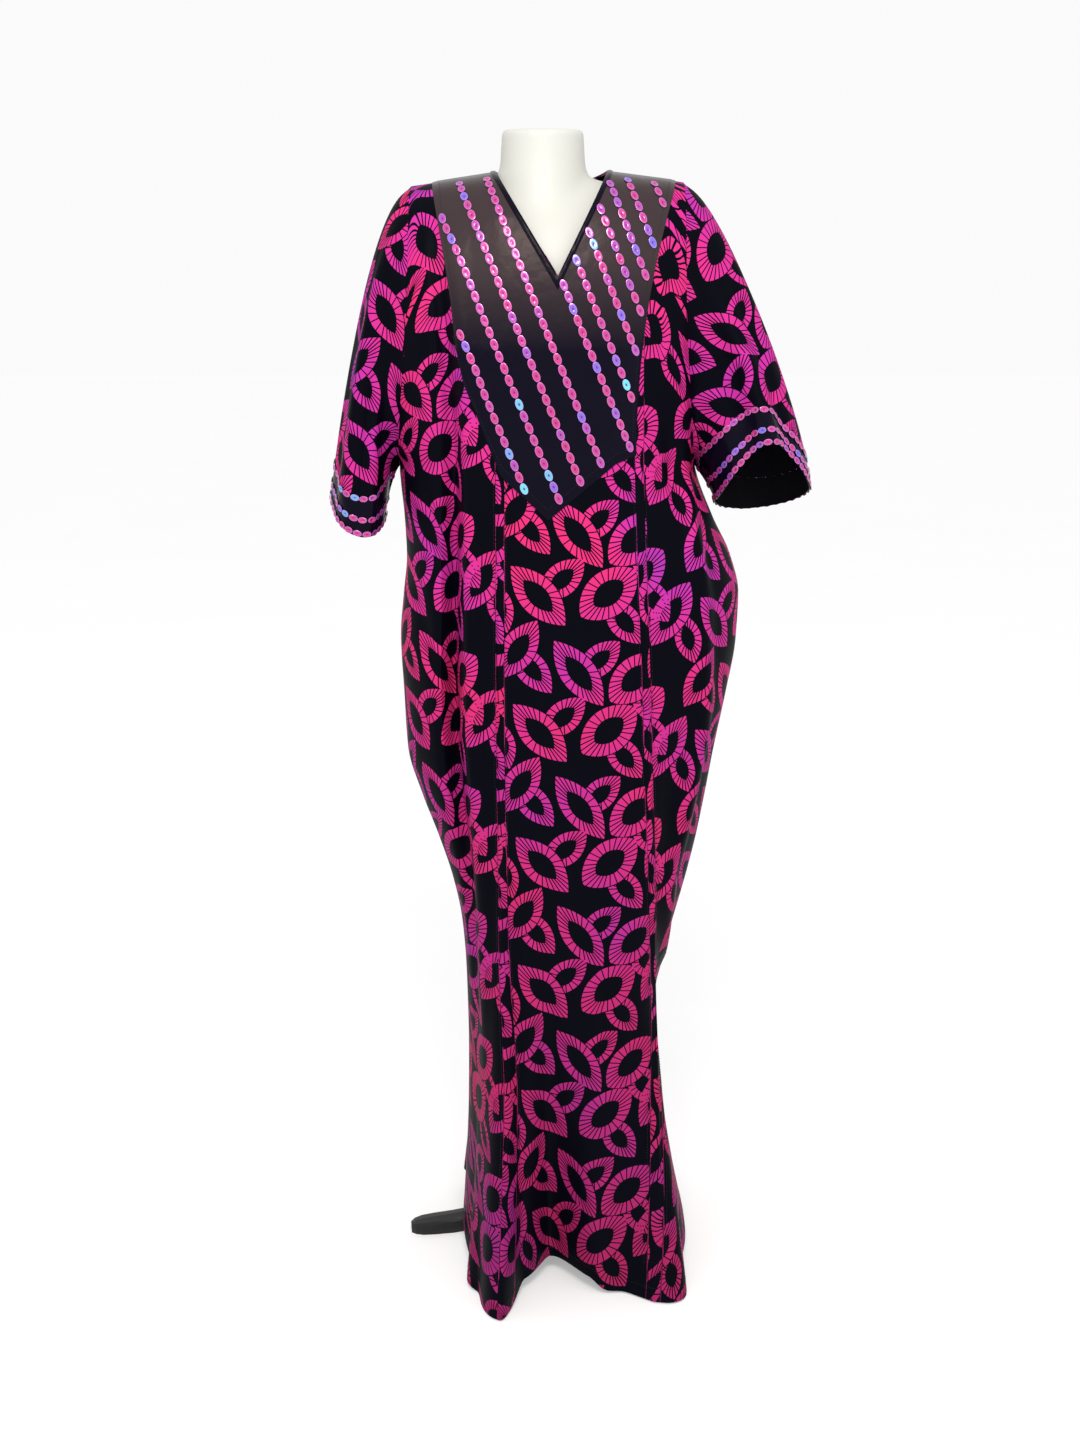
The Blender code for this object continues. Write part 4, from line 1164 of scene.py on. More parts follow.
def run_length(grid: Array, axis: int) -> Array:
    """Length over a grid from its first row (0) or its first column (1).

    Args:
        grid: Rows of points.
        axis: 0 to go from row to row, 1 to go along each row.

    Returns:
        The length at each point.
    """
    steps = np.linalg.norm(np.diff(grid, axis=axis), axis=-1)
    pad = [(0, 0), (0, 0)]
    pad[axis] = (1, 0)
    return np.pad(np.cumsum(steps, axis=axis), pad)


def flattened(grid: Array, flipped: bool, column: int) -> Array:
    """The flat cut of a grid of points, in metres.

    Args:
        grid: Rows of points, the first row at the top.
        flipped: Whether the outside is on the other side.
        column: The column that runs straight down on the cut.

    Returns:
        A place on the cut for each point.
    """
    rows, columns = grid.shape[:2]
    trial = sheet_mesh("cut_trial", grid, np.zeros((rows, columns, 2)), flipped=flipped)
    select_only(trial)
    bpy.ops.object.mode_set(mode="EDIT")
    bpy.ops.mesh.select_all(action="SELECT")
    bpy.ops.uv.unwrap(method="MINIMUM_STRETCH", fill_holes=False, margin=0.0)
    bpy.ops.object.mode_set(mode="OBJECT")
    mesh = trial.data
    numbers, flat = np.zeros(len(mesh.loops), int), np.zeros(len(mesh.loops) * 2)
    mesh.loops.foreach_get("vertex_index", numbers)
    mesh.uv_layers.active.data.foreach_get("uv", flat)
    places = np.zeros((rows * columns, 2))
    places[numbers] = flat.reshape(-1, 2)
    places = places.reshape(rows, columns, 2)
    bpy.data.objects.remove(trial, do_unlink=True)

    def cells(points: Array) -> float:
        """Sum of the cells' diagonals."""
        return float(np.linalg.norm(points[1:, 1:] - points[:-1, :-1], axis=-1).sum())

    places *= cells(grid) / cells(places)
    run = places[-1, column] - places[0, column]
    turn = -math.pi / 2 - math.atan2(run[1], run[0])
    places = places @ np.array(((math.cos(turn), math.sin(turn)), (-math.sin(turn), math.cos(turn))))
    return places - places[0, column] + np.array((0.0, CUT_TOP))


def tube_outward(grid: Array, sign: int) -> Array:
    """Outward directions at the points of a tube's rows."""
    wide = np.roll(grid, -1, axis=1) - np.roll(grid, 1, axis=1)
    return unit(np.cross(wide, np.gradient(grid, axis=0))) * sign


@dataclass
class Robe:
    """The robe's panels, sleeves, cuffs, yoke and neck binding."""

    ring: Ring = field(default_factory=Ring)
    columns: Columns = field(default_factory=Columns)
    print_finish: Optional[bpy.types.Material] = None
    satin: Optional[bpy.types.Material] = None
    reverse: Optional[bpy.types.Material] = None
    row_step: float = 0.010
    yoke_foot_rows: int = 30
    yoke_row_step: float = 0.009
    binding_width: float = 0.0065
    binding_mitre: float = 0.015
    binding_cells: int = 30
    binding_lift: float = 0.0026
    binding_back_lift: float = 0.0012
    binding_end_lift: float = 0.0014
    binding_back_drop: float = 0.005
    grids: dict = field(default_factory=dict)
    cuffs: dict = field(default_factory=dict)

    def panel_places(self, side: Side) -> tuple:
        """Places across and heights of a panel's grid, hem first.

        Args:
            side: The front or the back.

        Returns:
            The rows' values, then the grid's places across and its heights.
        """
        above = refine((UNDERARM,) + ROWS_ABOVE, self.row_step, 3)
        rows = np.concatenate((refine(ROWS_BELOW, self.row_step, 2), above[1:]))
        top = self.columns.top(side)
        heights = np.stack([row_height(rows, neck_height(side, place)) for place in top], axis=1)
        low = rows < HEM_BLEND
        across = self.columns.at(side, np.repeat(rows[:, None], len(top), axis=1))
        hem = FRONT_HEM if side is Side.FRONT else BACK_HEM
        lift = smooth([p[0] for p in hem], [p[1] for p in hem], across[low])
        heights[low] = lift + rows[low, None] * (HEM_BLEND - lift) / HEM_BLEND
        return rows, self.columns.at(side, heights), heights

    def build_panel(self, side: Side) -> bpy.types.Object:
        """The front or the back.

        Args:
            side: Which of them.

        Returns:
            The panel's object.
        """
        name = "front" if side is Side.FRONT else "back"
        rows, across, heights = self.panel_places(side)
        grid = self.ring.creased(side, across, heights)
        self.grids[side] = (rows, grid)
        middle = int(np.argmin(np.abs(self.columns.top(side) - NECK_POINT[0])))
        along = run_length(grid, 1)
        u = along - along[:, middle:middle + 1]
        level = int(np.argmin(np.abs(rows - PRINT_LEVEL)))
        length = run_length(grid, 0)
        v = grid[level, middle, 2] + length - length[level]
        if side is Side.FRONT:
            for jump in PRINT_JUMPS:
                fold = next(f for f in FRONT_FOLDS if f.name == jump.fold)
                off = (across - fold_value(fold.across, heights)) * jump.sign
                strip = np.where(off > -TUCK_HALF, jump.strip, 0.0)
                u = u + jump.sign * np.where(off > TUCK_HALF, jump.aside, strip)
                v = v + np.where(off > TUCK_HALF, jump.up, 0.0)
        else:
            u = BACK_PRINT - u
        shown = self.trimmed(grid)
        made = sheet_mesh(name + "_cloth", shown, np.stack((u, v), axis=-1), flipped=side is Side.BACK)
        shell(made, CLOTH, self.print_finish, self.reverse)
        return made

    @staticmethod
    def trimmed(grid: Array) -> Array:
        """The panel's grid with its edges half a seam clear of their neighbours.

        Args:
            grid: The panel's points.

        Returns:
            The trimmed grid.
        """
        made = grid.copy()
        for here, beside in ((0, 1), (-1, -2)):
            made[:, here] += unit(grid[:, beside] - grid[:, here]) * SEAM / 2
        made[-1] += unit(grid[-2] - grid[-1]) * SEAM / 2
        return made

    def loop(self, end: SleeveEnd) -> tuple:
        """The points round an armhole, their turn and the way that the sleeve leaves them.

        Args:
            end: The sleeve's end.

        Returns:
            The points, their turn, the ways and the sign of the side.
        """
        sign = -1 if end.side == "left" else 1
        rows, front = self.grids[Side.FRONT]
        back = self.grids[Side.BACK][1]
        first = int(np.argmin(np.abs(rows - UNDERARM)))
        column, beside = (0, 5) if sign < 0 else (-1, -6)
        coarse = np.interp(rows[first:], (UNDERARM,) + ROWS_ABOVE, range(len(ROWS_ABOVE) + 1))
        last = len(ROWS_ABOVE)
        points = np.concatenate((front[first:, column][::-1], back[first + 1:-1, column]))
        turn = np.concatenate(((last - coarse)[::-1], last + coarse[1:-1])) * math.pi / last
        ways = [unit(grid[first:, column] - grid[first:, beside]) for grid in (front, back)]
        way = np.concatenate((ways[0][::-1], ways[1][1:-1]))
        for place, direction in ((0.0, SHOULDER_WAY), (math.pi, UNDERARM_WAY)):
            special = unit(np.array((sign * direction[0], 0.0, direction[1])))
            off = np.abs((turn - place + math.pi) % (2 * math.pi) - math.pi) * last / math.pi
            share = 1 - ease(0.0, 1.0, off)[:, None]
            way = unit(way * (1 - share) + special * share)
        return points, turn, way, sign

    def cuff_edge(self, end: SleeveEnd, turn: Array) -> Array:
        """The loop of points round the end of a sleeve, matching the armhole's.

        Args:
            end: The sleeve's end.
            turn: How far round each point is.

        Returns:
            The points.
        """
        outer, front, inner, back = (np.array(p) for p in (end.outer, end.front, end.inner, end.back))
        share = ((1 - np.cos(turn)) / 2)[:, None]
        straight = outer + (inner - outer) * share
        ahead = turn <= math.pi
        crest = np.where(ahead[:, None], front, back) - (outer + inner) / 2
        bow = np.abs(np.sin(turn))
        sharp = bow ** np.where(ahead, end.peak, 1.0)
        return straight + np.stack((np.zeros(len(turn)), crest[:, 1] * bow, crest[:, 2] * sharp), axis=-1)

    def folded(self, grid: Array, turn: Array, side: str, sign: int) -> Array:
        """A sleeve's grid with its folds.

        Args:
            grid: Rows of points round the sleeve, the armhole first.
            turn: How far round each column is.
            side: The sleeve's side.
            sign: -1 on the left, 1 on the right.

        Returns:
            The folded grid.
        """
        out = tube_outward(grid, sign)
        along = np.linspace(0.0, 1.0, len(grid))[:, None]
        lift = np.zeros(grid.shape[:2])
        for fold in SLEEVE_FOLDS:
            if fold.side == side:
                off = np.abs((np.degrees(turn) - fold.turn + 180) % 360 - 180) / fold.width
                soft = 0.5 + 0.5 * np.cos(math.pi * np.clip(off, 0, 1))
                share = np.clip((along - fold.start) / (fold.finish - fold.start), 0, 1)
                lift += fold.depth * soft * np.sin(math.pi * share) ** 1.1
        return grid + out * lift[..., None]

    def build_sleeve(self, end: SleeveEnd) -> list:
        """One sleeve and its cuff.

        Args:
            end: The sleeve's end.

        Returns:
            The sleeve's and the cuff's objects.
        """
        loop, turn, way, sign = self.loop(end)
        edge = self.cuff_edge(end, turn)
        span = np.linalg.norm(edge - loop, axis=-1)
        start = way * np.minimum(span * START_MOST, end.start)[:, None]
        fall = np.tile(np.array((SLEEVE_FALL[0] * sign, 0.0, SLEEVE_FALL[1])), (len(loop), 1))
        finish = fall * span[:, None] * end.finish
        cuff_share = np.minimum(CUFF_WIDTH / span, CUFF_MOST)
        body = SLEEVE_CELLS
        rows = []
        for k in range(body + CUFF_CELLS + 1):
            if k <= body:
                share = (1 - cuff_share) * k / body
            else:
                share = 1 - cuff_share * (1 - (k - body) / CUFF_CELLS)
            t = share[:, None]
            rows.append((1 + 2 * t) * (1 - t) ** 2 * loop + t * t * (3 - 2 * t) * edge
                        + t * (1 - t) ** 2 * start - t * t * (1 - t) * finish)
        grid = self.folded(np.array(rows), turn, end.side, sign)
        grid[0] += way * SEAM / 2
        grid = np.roll(grid, -(int(np.argmin(np.abs(turn - math.pi)))), axis=1)
        around = np.concatenate((grid, grid[:, :1]), axis=1)
        flipped = sign < 0
        front = int(np.argmin(grid[body // 2, :, 1]))
        places = flattened(around, flipped, front)
        sleeve = sheet_mesh("sleeve_" + end.side + "_cloth", grid[:body + 1], places[:body + 1],
                            True, flipped)
        shell(sleeve, CLOTH, self.print_finish, self.reverse)
        low = grid[body:].copy()
        low[0] += unit(low[1] - low[0]) * SEAM
        cuff = sheet_mesh("cuff_" + end.side + "_cloth", low, places[body:], True, flipped)
        shell(cuff, CUFF_CLOTH, self.satin, self.reverse)
        self.cuffs[end.side] = low
        return [sleeve, cuff]

    def yoke_places(self) -> tuple:
        """Places across and heights of the yoke's grid, lower edge first.

        Returns:
            The grid's places across and its heights.
        """
        left, right = YOKE_SHOULDER
        top = self.columns.top(Side.FRONT)
        top = np.concatenate(([left], top[(top > left + 0.003) & (top < right - 0.003)], [right]))
        low = np.linspace(YOKE_EDGE[0][0], YOKE_EDGE[-1][0], len(top))
        foot = broken_line(YOKE_EDGE, low)
        curve = np.linspace(YOKE_SIDE_CURVE[0], YOKE_SIDE_CURVE[1], len(top))
        high = refine(ROWS_ABOVE[4:], self.yoke_row_step, 3)
        across, heights = [], []
        for j, place in enumerate(top):
            top_edge = neck_height(Side.FRONT, place)
            rise = row_height(high, top_edge)
            column = np.concatenate((np.linspace(foot[j], rise[0], self.yoke_foot_rows)[:-1], rise))
            share = (column - foot[j]) / (top_edge - foot[j])
            across.append(low[j] + (place - low[j]) * share ** curve[j])
            heights.append(column)
        return np.array(across).T, np.array(heights).T

    def lying(self, side: Side, across: Array, heights: Array, lift: Union[float, Array]) -> Array:
        """Points of a piece that lies on a panel, at a distance above it."""
        above = np.broadcast_to(lift, np.shape(across))[..., None]
        return self.ring.creased(side, across, heights) + self.ring.outward(side, across, heights) * above

    def build_yoke(self) -> bpy.types.Object:
        """The satin bib, with its edge turned under."""
        across, heights = self.yoke_places()
        rows, columns = across.shape
        from_edge = np.minimum(np.arange(columns)[None], np.arange(columns)[::-1][None])
        near = np.minimum(from_edge / 2.0, np.arange(rows)[:, None] / 1.5)
        lift = YOKE_LIFT + EDGE_ROLL * ease(0.0, 1.0, near)
        grid = self.lying(Side.FRONT, across, heights, lift)
        grid[-1] += unit(grid[-2] - grid[-1]) * SEAM
        places = np.stack((across, heights), axis=-1)
        made = sheet_mesh("yoke_cloth", grid, places)
        shell(made, YOKE_CLOTH, self.satin, self.reverse)
        return made

    def build_binding(self) -> bpy.types.Object:
        """The narrow bound edge round the neck, rounded across."""
        middle, low = NECK_POINT
        width, cells, shares = self.binding_width, self.binding_cells, np.linspace(0.0, 1.0, 7)
        across, heights, lifts, halves = [], [], [], []
        for k in range(2 * cells + 1):
            leg = 0 if k < cells else 1
            t = ((k if leg == 0 else 2 * cells - k) / cells) ** 1.4
            corner = NECK_LEFT if leg == 0 else NECK_RIGHT
            out = -width if leg == 0 else width
            across.append(corner + out * shares + (middle - corner - out * shares) * t)
            heights.append(SHOULDER + (low - self.binding_mitre * shares - SHOULDER) * t)
            lifts.append(self.binding_lift + EDGE_ROLL * np.sin(math.pi * shares))
            halves.append(Side.FRONT)
        for k in range(1, cells):
            turn = math.pi * k / cells
            place = (NECK_LEFT + NECK_RIGHT) / 2 + (NECK_RIGHT - NECK_LEFT) / 2 * math.cos(turn)
            across.append(place + width * shares * math.cos(turn))
            drop = self.binding_back_drop * shares * math.sin(turn)
            heights.append(neck_height(Side.BACK, place) - drop)
            lift = self.binding_back_lift + self.binding_end_lift * abs(math.cos(turn)) ** 6
            lifts.append(lift + EDGE_ROLL * np.sin(math.pi * shares))
            halves.append(Side.BACK)
        grid = np.array([self.lying(*place) for place in zip(halves, across, heights, lifts)])
        grid = np.swapaxes(grid, 0, 1)
        around = np.concatenate((grid, grid[:, :1]), axis=1)
        places = np.stack((run_length(around, 1), run_length(around, 0)), axis=-1)
        made = sheet_mesh("neck_binding_cloth", grid, places, closed=True, flipped=True)
        shell(made, BINDING_CLOTH, self.satin, self.satin)
        return made


class FormRow(NamedTuple):
    """A section of the dress form: its height, half width and reach to the front and back."""

    height: float
    half: float
    front: float
    back: float


TORSO_ROWS = (
    FormRow(0.7320, 0.122, 0.084, 0.084), FormRow(0.7400, 0.138, 0.098, 0.098),
    FormRow(0.7650, 0.148, 0.108, 0.106), FormRow(0.8300, 0.150, 0.112, 0.108),
    FormRow(0.9200, 0.142, 0.108, 0.098), FormRow(1.0200, 0.126, 0.100, 0.086),
    FormRow(1.1000, 0.132, 0.110, 0.090), FormRow(1.2000, 0.147, 0.128, 0.100),
    FormRow(1.2800, 0.154, 0.124, 0.105), FormRow(1.3500, 0.160, 0.111, 0.101),
    FormRow(1.3950, 0.160, 0.092, 0.088), FormRow(1.4220, 0.153, 0.070, 0.068),
    FormRow(1.4380, 0.138, 0.054, 0.054), FormRow(1.4460, 0.108, 0.043, 0.043),
    FormRow(1.4545, 0.072, 0.037, 0.037), FormRow(1.4570, 0.046, 0.030, 0.030),
)
NECK_ROWS = (
    FormRow(1.3800, 0.090, 0.0920, 0.060), FormRow(1.3950, 0.084, 0.0900, 0.060),
    FormRow(1.4100, 0.074, 0.0812, 0.058), FormRow(1.4250, 0.065, 0.0715, 0.056),
    FormRow(1.4400, 0.060, 0.0650, 0.054), FormRow(1.4550, 0.0565, 0.0605, 0.052),
    FormRow(1.4700, 0.0540, 0.0568, 0.051), FormRow(1.4850, 0.0525, 0.0535, 0.051),
    FormRow(1.5000, 0.0515, 0.0512, 0.050), FormRow(1.5130, 0.0505, 0.0495, 0.0495),
    FormRow(1.5150, 0.0490, 0.0480, 0.0480),
)


@dataclass
class DressForm:
    """The limbless form: its torso and neck in one skin, with a soft passage between them."""

    finish: bpy.types.Material
    corners: int = 80
    row_step: float = 0.012
    skin_cell: float = 0.0040
    passage_low: tuple = (1.375, 1.405)
    passage_high: tuple = (1.465, 1.495)
    softening: tuple = (("passage", 60), ("", 3))

    def stack(self, name: str, rows: Sequence[FormRow]) -> bpy.types.Object:
        """A part of the form: rings extruded up from a flat underside to a flat top.

        Args:
            name: The object's name.
            rows: Its sections.

        Returns:
            The object.
        """
        levels = [row.height for row in rows]
        fine = refine(levels, self.row_step, 2)
        half_width = smooth(levels, [row.half for row in rows], fine)
        ahead = smooth(levels, [row.front for row in rows], fine)
        behind = smooth(levels, [row.back for row in rows], fine)
        half_depth = (ahead + behind) / 2
        middle = SEAM_Y + (behind - ahead) / 2
        bpy.ops.object.select_all(action="DESELECT")
        bpy.ops.mesh.primitive_circle_add(vertices=self.corners, radius=1.0, fill_type="NGON",
                                          location=(0.0, middle[0], fine[0]), enter_editmode=True)
        made = bpy.context.object
        made.name = name
        bpy.ops.mesh.select_all(action="SELECT")
        bpy.ops.transform.resize(value=(half_width[0], half_depth[0], 1.0),
                                 center_override=(0.0, middle[0], fine[0]))
        for k in range(1, len(fine)):
            step = (0.0, middle[k] - middle[k - 1], fine[k] - fine[k - 1])
            bpy.ops.mesh.extrude_region_move(TRANSFORM_OT_translate={"value": step})
            growth = (half_width[k] / half_width[k - 1], half_depth[k] / half_depth[k - 1], 1.0)
            bpy.ops.transform.resize(value=growth, center_override=(0.0, middle[k], fine[k]))
        bpy.ops.mesh.select_all(action="SELECT")
        bpy.ops.mesh.normals_make_consistent(inside=False)
        bpy.ops.object.mode_set(mode="OBJECT")
        bpy.ops.object.transform_apply(location=True, rotation=True, scale=True)
        made.data.materials.append(self.finish)
        return made

    def weigh_passage(self, form: bpy.types.Object) -> None:
        """Marks where the neck flares into the shoulders, in the group that the softening reads.

        Args:
            form: The joined form.
        """
        group = form.vertex_groups.new(name="passage")
        for vertex in form.data.vertices:
            height = vertex.co.z
            weight = ease(*self.passage_low, height) * (1 - ease(*self.passage_high, height))
            group.add([vertex.index], float(weight), "ADD")

    def build(self) -> bpy.types.Object:
        """The whole form."""
        form = self.stack("form_skin", TORSO_ROWS)
        neck = self.stack("form_neck", NECK_ROWS)
        select_only(form)
        neck.select_set(True)
        bpy.ops.object.join()
        skin = form.modifiers.new("skin", "REMESH")
        skin.mode = "VOXEL"
        skin.voxel_size = self.skin_cell
        skin.use_smooth_shade = True
        bpy.ops.object.modifier_apply(modifier=skin.name)
        self.weigh_passage(form)
        for where, turns in self.softening:
            softened = form.modifiers.new("soft", "SMOOTH")
            softened.factor = 0.5
            softened.iterations = turns
            softened.vertex_group = where
            bpy.ops.object.modifier_apply(modifier=softened.name)
        form.vertex_groups.clear()
        bpy.ops.object.shade_smooth_by_angle(angle=SHARP_EDGE)
        LOG.info("%s: %d faces", form.name, len(form.data.polygons))
        return form


@dataclass
class SmallPieces:
    """Many small pieces in rows on the cloth, as one mesh."""

    robe: Robe
    name: str
    finish: bpy.types.Material
    sight: float = 0.0015
    count: int = 0
    points: list = field(default_factory=list)
    faces: list = field(default_factory=list)
    tones: list = field(default_factory=list)

    def one(self, centre: Array, along: Array, out: Array, length: float, width: float) -> None:
        """Adds one piece.

        Args:
            centre: Its middle, on the cloth.
            along: The way of its length.
            out: The cloth's outward direction.
            length: Its length.
            width: Its width.
        """
        raise NotImplementedError

    def row(self, line: Array, out: Array, pitch: float, length: float, width: float) -> None:
        """Adds pieces end to end along a line of points with outward directions.

        Args:
            line: The points.
            out: Their outward directions.
            pitch: The step from one piece to the next.
            length: Each piece's length.
            width: Each piece's width.
        """
        far = np.concatenate(([0.0], np.cumsum(np.linalg.norm(np.diff(line, axis=0), axis=1))))
        number = max(int(far[-1] / pitch), 1)
        for place in (np.arange(number) + 0.5) * far[-1] / number:
            ends = [np.array([np.interp(place + off, far, line[:, k]) for k in range(3)])
                    for off in (-self.sight, 0.0, self.sight)]
            facing = unit(np.array([np.interp(place, far, out[:, k]) for k in range(3)]))
            along = unit(ends[2] - ends[0])
            along = unit(along - facing * float(along @ facing))
            self.one(ends[1], along, facing, length, width)
            self.count += 1

    def joined(self) -> bpy.types.Object:
        """The pieces as one object, with each one's tone as its UV."""
        mesh = bpy.data.meshes.new(self.name)
        mesh.from_pydata([tuple(p) for p in self.points], [], self.faces)
        layer = mesh.uv_layers.new(name="cloth")
        numbers = np.zeros(len(mesh.loops), int)
        mesh.loops.foreach_get("vertex_index", numbers)
        tones = np.array(self.tones, dtype=np.float32)[numbers]
        layer.data.foreach_set("uv", tones.reshape(-1))
        mesh.materials.append(self.finish)
        mesh.shade_smooth()
        made = bpy.data.objects.new(self.name, mesh)
        bpy.context.scene.collection.objects.link(made)
        LOG.info("%s: %d pieces, %d faces", self.name, self.count, len(mesh.polygons))
        return made


@dataclass
class Stitches(SmallPieces):
    """Rows of topstitching on the tucks, the hem and the yoke's edge."""

    thread: float = 0.0006
    length: float = 0.0026
    pitch: float = 0.0036
    hem_row: float = 0.016
    tuck_foot: float = 0.045
    tuck_aside: float = 0.0076
    on_panel: float = 0.0001
    on_yoke: float = 0.0021
    proud: float = 0.0003
    dip: float = 0.0001
    step: float = 0.004
    yoke_gap: float = 0.004

    def one(self, centre: Array, along: Array, out: Array, length: float, width: float) -> None:
        """Adds one stitch, a thread that dips into the cloth at both ends."""
        first = len(self.points)
        aside = np.cross(out, along) * width / 2
        middle = centre + out * self.proud
        self.points += [centre - along * length / 2, middle + out * width / 2, middle + aside,
                        centre - out * self.dip, middle - aside, centre + along * length / 2]
        for a, b in ((1, 2), (2, 3), (3, 4), (4, 1)):
            self.faces.append((first, first + b, first + a))
            self.faces.append((first + 5, first + a, first + b))
        self.tones += [(0.0, 0.0)] * 6

    def line(self, side: Side, across: Array, heights: Array, lift: float) -> None:
        """Adds a row of stitches along places on the front or back.

        Args:
            side: The front or the back.
            across: Places across.
            heights: Their heights.
            lift: How far above the panel they lie.
        """
        points = self.robe.lying(side, across, heights, lift)
        out = self.robe.ring.outward(side, across, heights)
        self.row(points, out, self.pitch, self.length, self.thread)

    def build(self) -> bpy.types.Object:
        """All the stitches."""
        for fold in FRONT_FOLDS:
            if fold.name in TUCKS:
                heights = np.arange(self.tuck_foot, TUCK_TOP - TUCK_FADE, self.step)
                for aside in (-self.tuck_aside, self.tuck_aside):
                    across = fold_value(fold.across, heights) + aside
                    inside = heights < broken_line(YOKE_EDGE, across) - self.yoke_gap
                    self.line(Side.FRONT, across[inside], heights[inside], self.on_panel)
        for side in Side:
            rows, across, heights = self.robe.panel_places(side)
            row = int(np.argmin(np.abs(rows - self.hem_row)))
            self.line(side, across[row], heights[row], self.on_panel)
        across, heights = self.robe.yoke_places()
        self.line(Side.FRONT, across[2], heights[2], self.on_yoke)
        for column in (3, -4):
            self.line(Side.FRONT, across[2:-2, column], heights[2:-2, column], self.on_yoke)
        return self.joined()


@dataclass
class SequinTrim(SmallPieces):
    """Rows of oval cupped sequins on the yoke and the cuffs."""

    length: float = 0.0148
    width: float = 0.0092
    pitch: float = 0.0150
    slope: float = 0.42
    lift: float = 0.0024
    margin: float = 0.0055
    shortest: float = 0.020
    span: tuple = (1.030, 1.452, 0.002)
    rings: tuple = ((0.30, 0.0005), (0.72, 0.0014), (1.0, 0.0009))
    sides: int = 14
    cuff_length: float = 0.0118
    cuff_width: float = 0.0076
    cuff_lift: float = 0.0004
    hub: float = 0.0004
    scatter: tuple = (12.9898, 43758.5453)
    rarity: float = 1.4
    tilt: float = 0.16
    nod: float = 0.10
    rows: tuple = (-0.176, -0.146, -0.109, -0.074, -0.040, 0.003, 0.030, 0.058, 0.083, 0.107, 0.132,
                   0.165)

    def one(self, centre: Array, along: Array, out: Array, length: float, width: float) -> None:
        """Adds one sequin: a cup whose rim lies back on the cloth."""
        across = unit(np.cross(out, along))
        first, sides = len(self.points), self.sides
        spin = math.sin(self.count * self.scatter[0]) * self.scatter[1]
        tone = (spin - math.floor(spin)) ** self.rarity
        tilt = self.tilt * math.sin(self.count * 2.399)
        out = unit(out + across * tilt + along * self.nod * math.cos(self.count * 1.7))
        self.points.append(centre + out * self.hub)
        self.tones.append((tone, 0.0))
        for share, high in self.rings:
            for k in range(sides):
                turn = 2 * math.pi * k / sides
                a, b = math.cos(turn), math.sin(turn)
                point = centre + along * (a * length / 2 * share) + across * (b * width / 2 * share)
                self.points.append(point + out * high)
                self.tones.append((tone, share))
        for k in range(sides):
            after = (k + 1) % sides
            self.faces.append((first, first + 1 + k, first + 1 + after))
            for ring in range(len(self.rings) - 1):
                low, high = first + 1 + ring * sides, first + 1 + (ring + 1) * sides
                self.faces.append((low + k, high + k, high + after, low + after))

    def yoke_rows(self) -> None:
        """The slanted rows of the yoke, cut off at its edges and at the neck."""
        across, heights = self.robe.yoke_places()
        outline = np.concatenate((np.stack((across[0], heights[0]), -1),
                                  np.stack((across[1:, -1], heights[1:, -1]), -1),
                                  np.stack((across[-1, ::-1][1:], heights[-1, ::-1][1:]), -1),
                                  np.stack((across[::-1, 0][1:], heights[::-1, 0][1:]), -1)))
        for place in self.rows:
            run = np.arange(*self.span)
            at = NECK_POINT[0] + place - (run - NECK_POINT[1]) * self.slope
            keep = np.array([self.inside(outline, x, z, self.margin) for x, z in zip(at, run)])
            if keep.sum() * self.span[2] < self.shortest:
                continue
            at, run = at[keep][::-1], run[keep][::-1]
            line = self.robe.lying(Side.FRONT, at, run, self.lift)
            out = self.robe.ring.outward(Side.FRONT, at, run)
            self.row(line, out, self.pitch, self.length, self.width)

    @staticmethod
    def inside(outline: Array, x: float, z: float, margin: float) -> bool:
        """Whether a place lies in an outline, clear of its edge.

        Args:
            outline: Places round the outline.
            x: The place across.
            z: Its height.
            margin: The least way to the edge.

        Returns:
            True where it does.
        """
        a, b = outline, np.roll(outline, -1, axis=0)
        crosses = (a[:, 1] > z) != (b[:, 1] > z)
        rise = np.where(np.abs(b[:, 1] - a[:, 1]) < TINY, TINY, b[:, 1] - a[:, 1])
        left = x < (b[:, 0] - a[:, 0]) * (z - a[:, 1]) / rise + a[:, 0]
        if int(np.sum(crosses & left)) % 2 == 0:
            return False
        run = b - a
        t = np.clip(((x - a[:, 0]) * run[:, 0] + (z - a[:, 1]) * run[:, 1])
                    / np.maximum((run ** 2).sum(axis=1), TINY), 0, 1)
        near = a + run * t[:, None]
        return float(np.hypot(near[:, 0] - x, near[:, 1] - z).min()) > margin

    def cuff_rows(self) -> None:
        """Three rows round each cuff: along its top, its middle and its edge."""
        for side, grid in self.robe.cuffs.items():
            out = tube_outward(grid, -1 if side == "left" else 1)
            for row in (0, len(grid) // 2, len(grid) - 2):
                way = np.concatenate((out[row], out[row, :1]))
                line = np.concatenate((grid[row], grid[row, :1])) + way * self.cuff_lift
                self.row(line, way, self.cuff_length, self.cuff_length, self.cuff_width)

    def build(self) -> bpy.types.Object:
        """All the sequins."""
        self.yoke_rows()
        self.cuff_rows()
        return self.joined()


class Lamp(NamedTuple):
    """A square soft lamp: its place, the point that it faces, its side, watts and colour."""

    name: str
    place: tuple
    aim: tuple
    size: float
    power: float
    colour: tuple


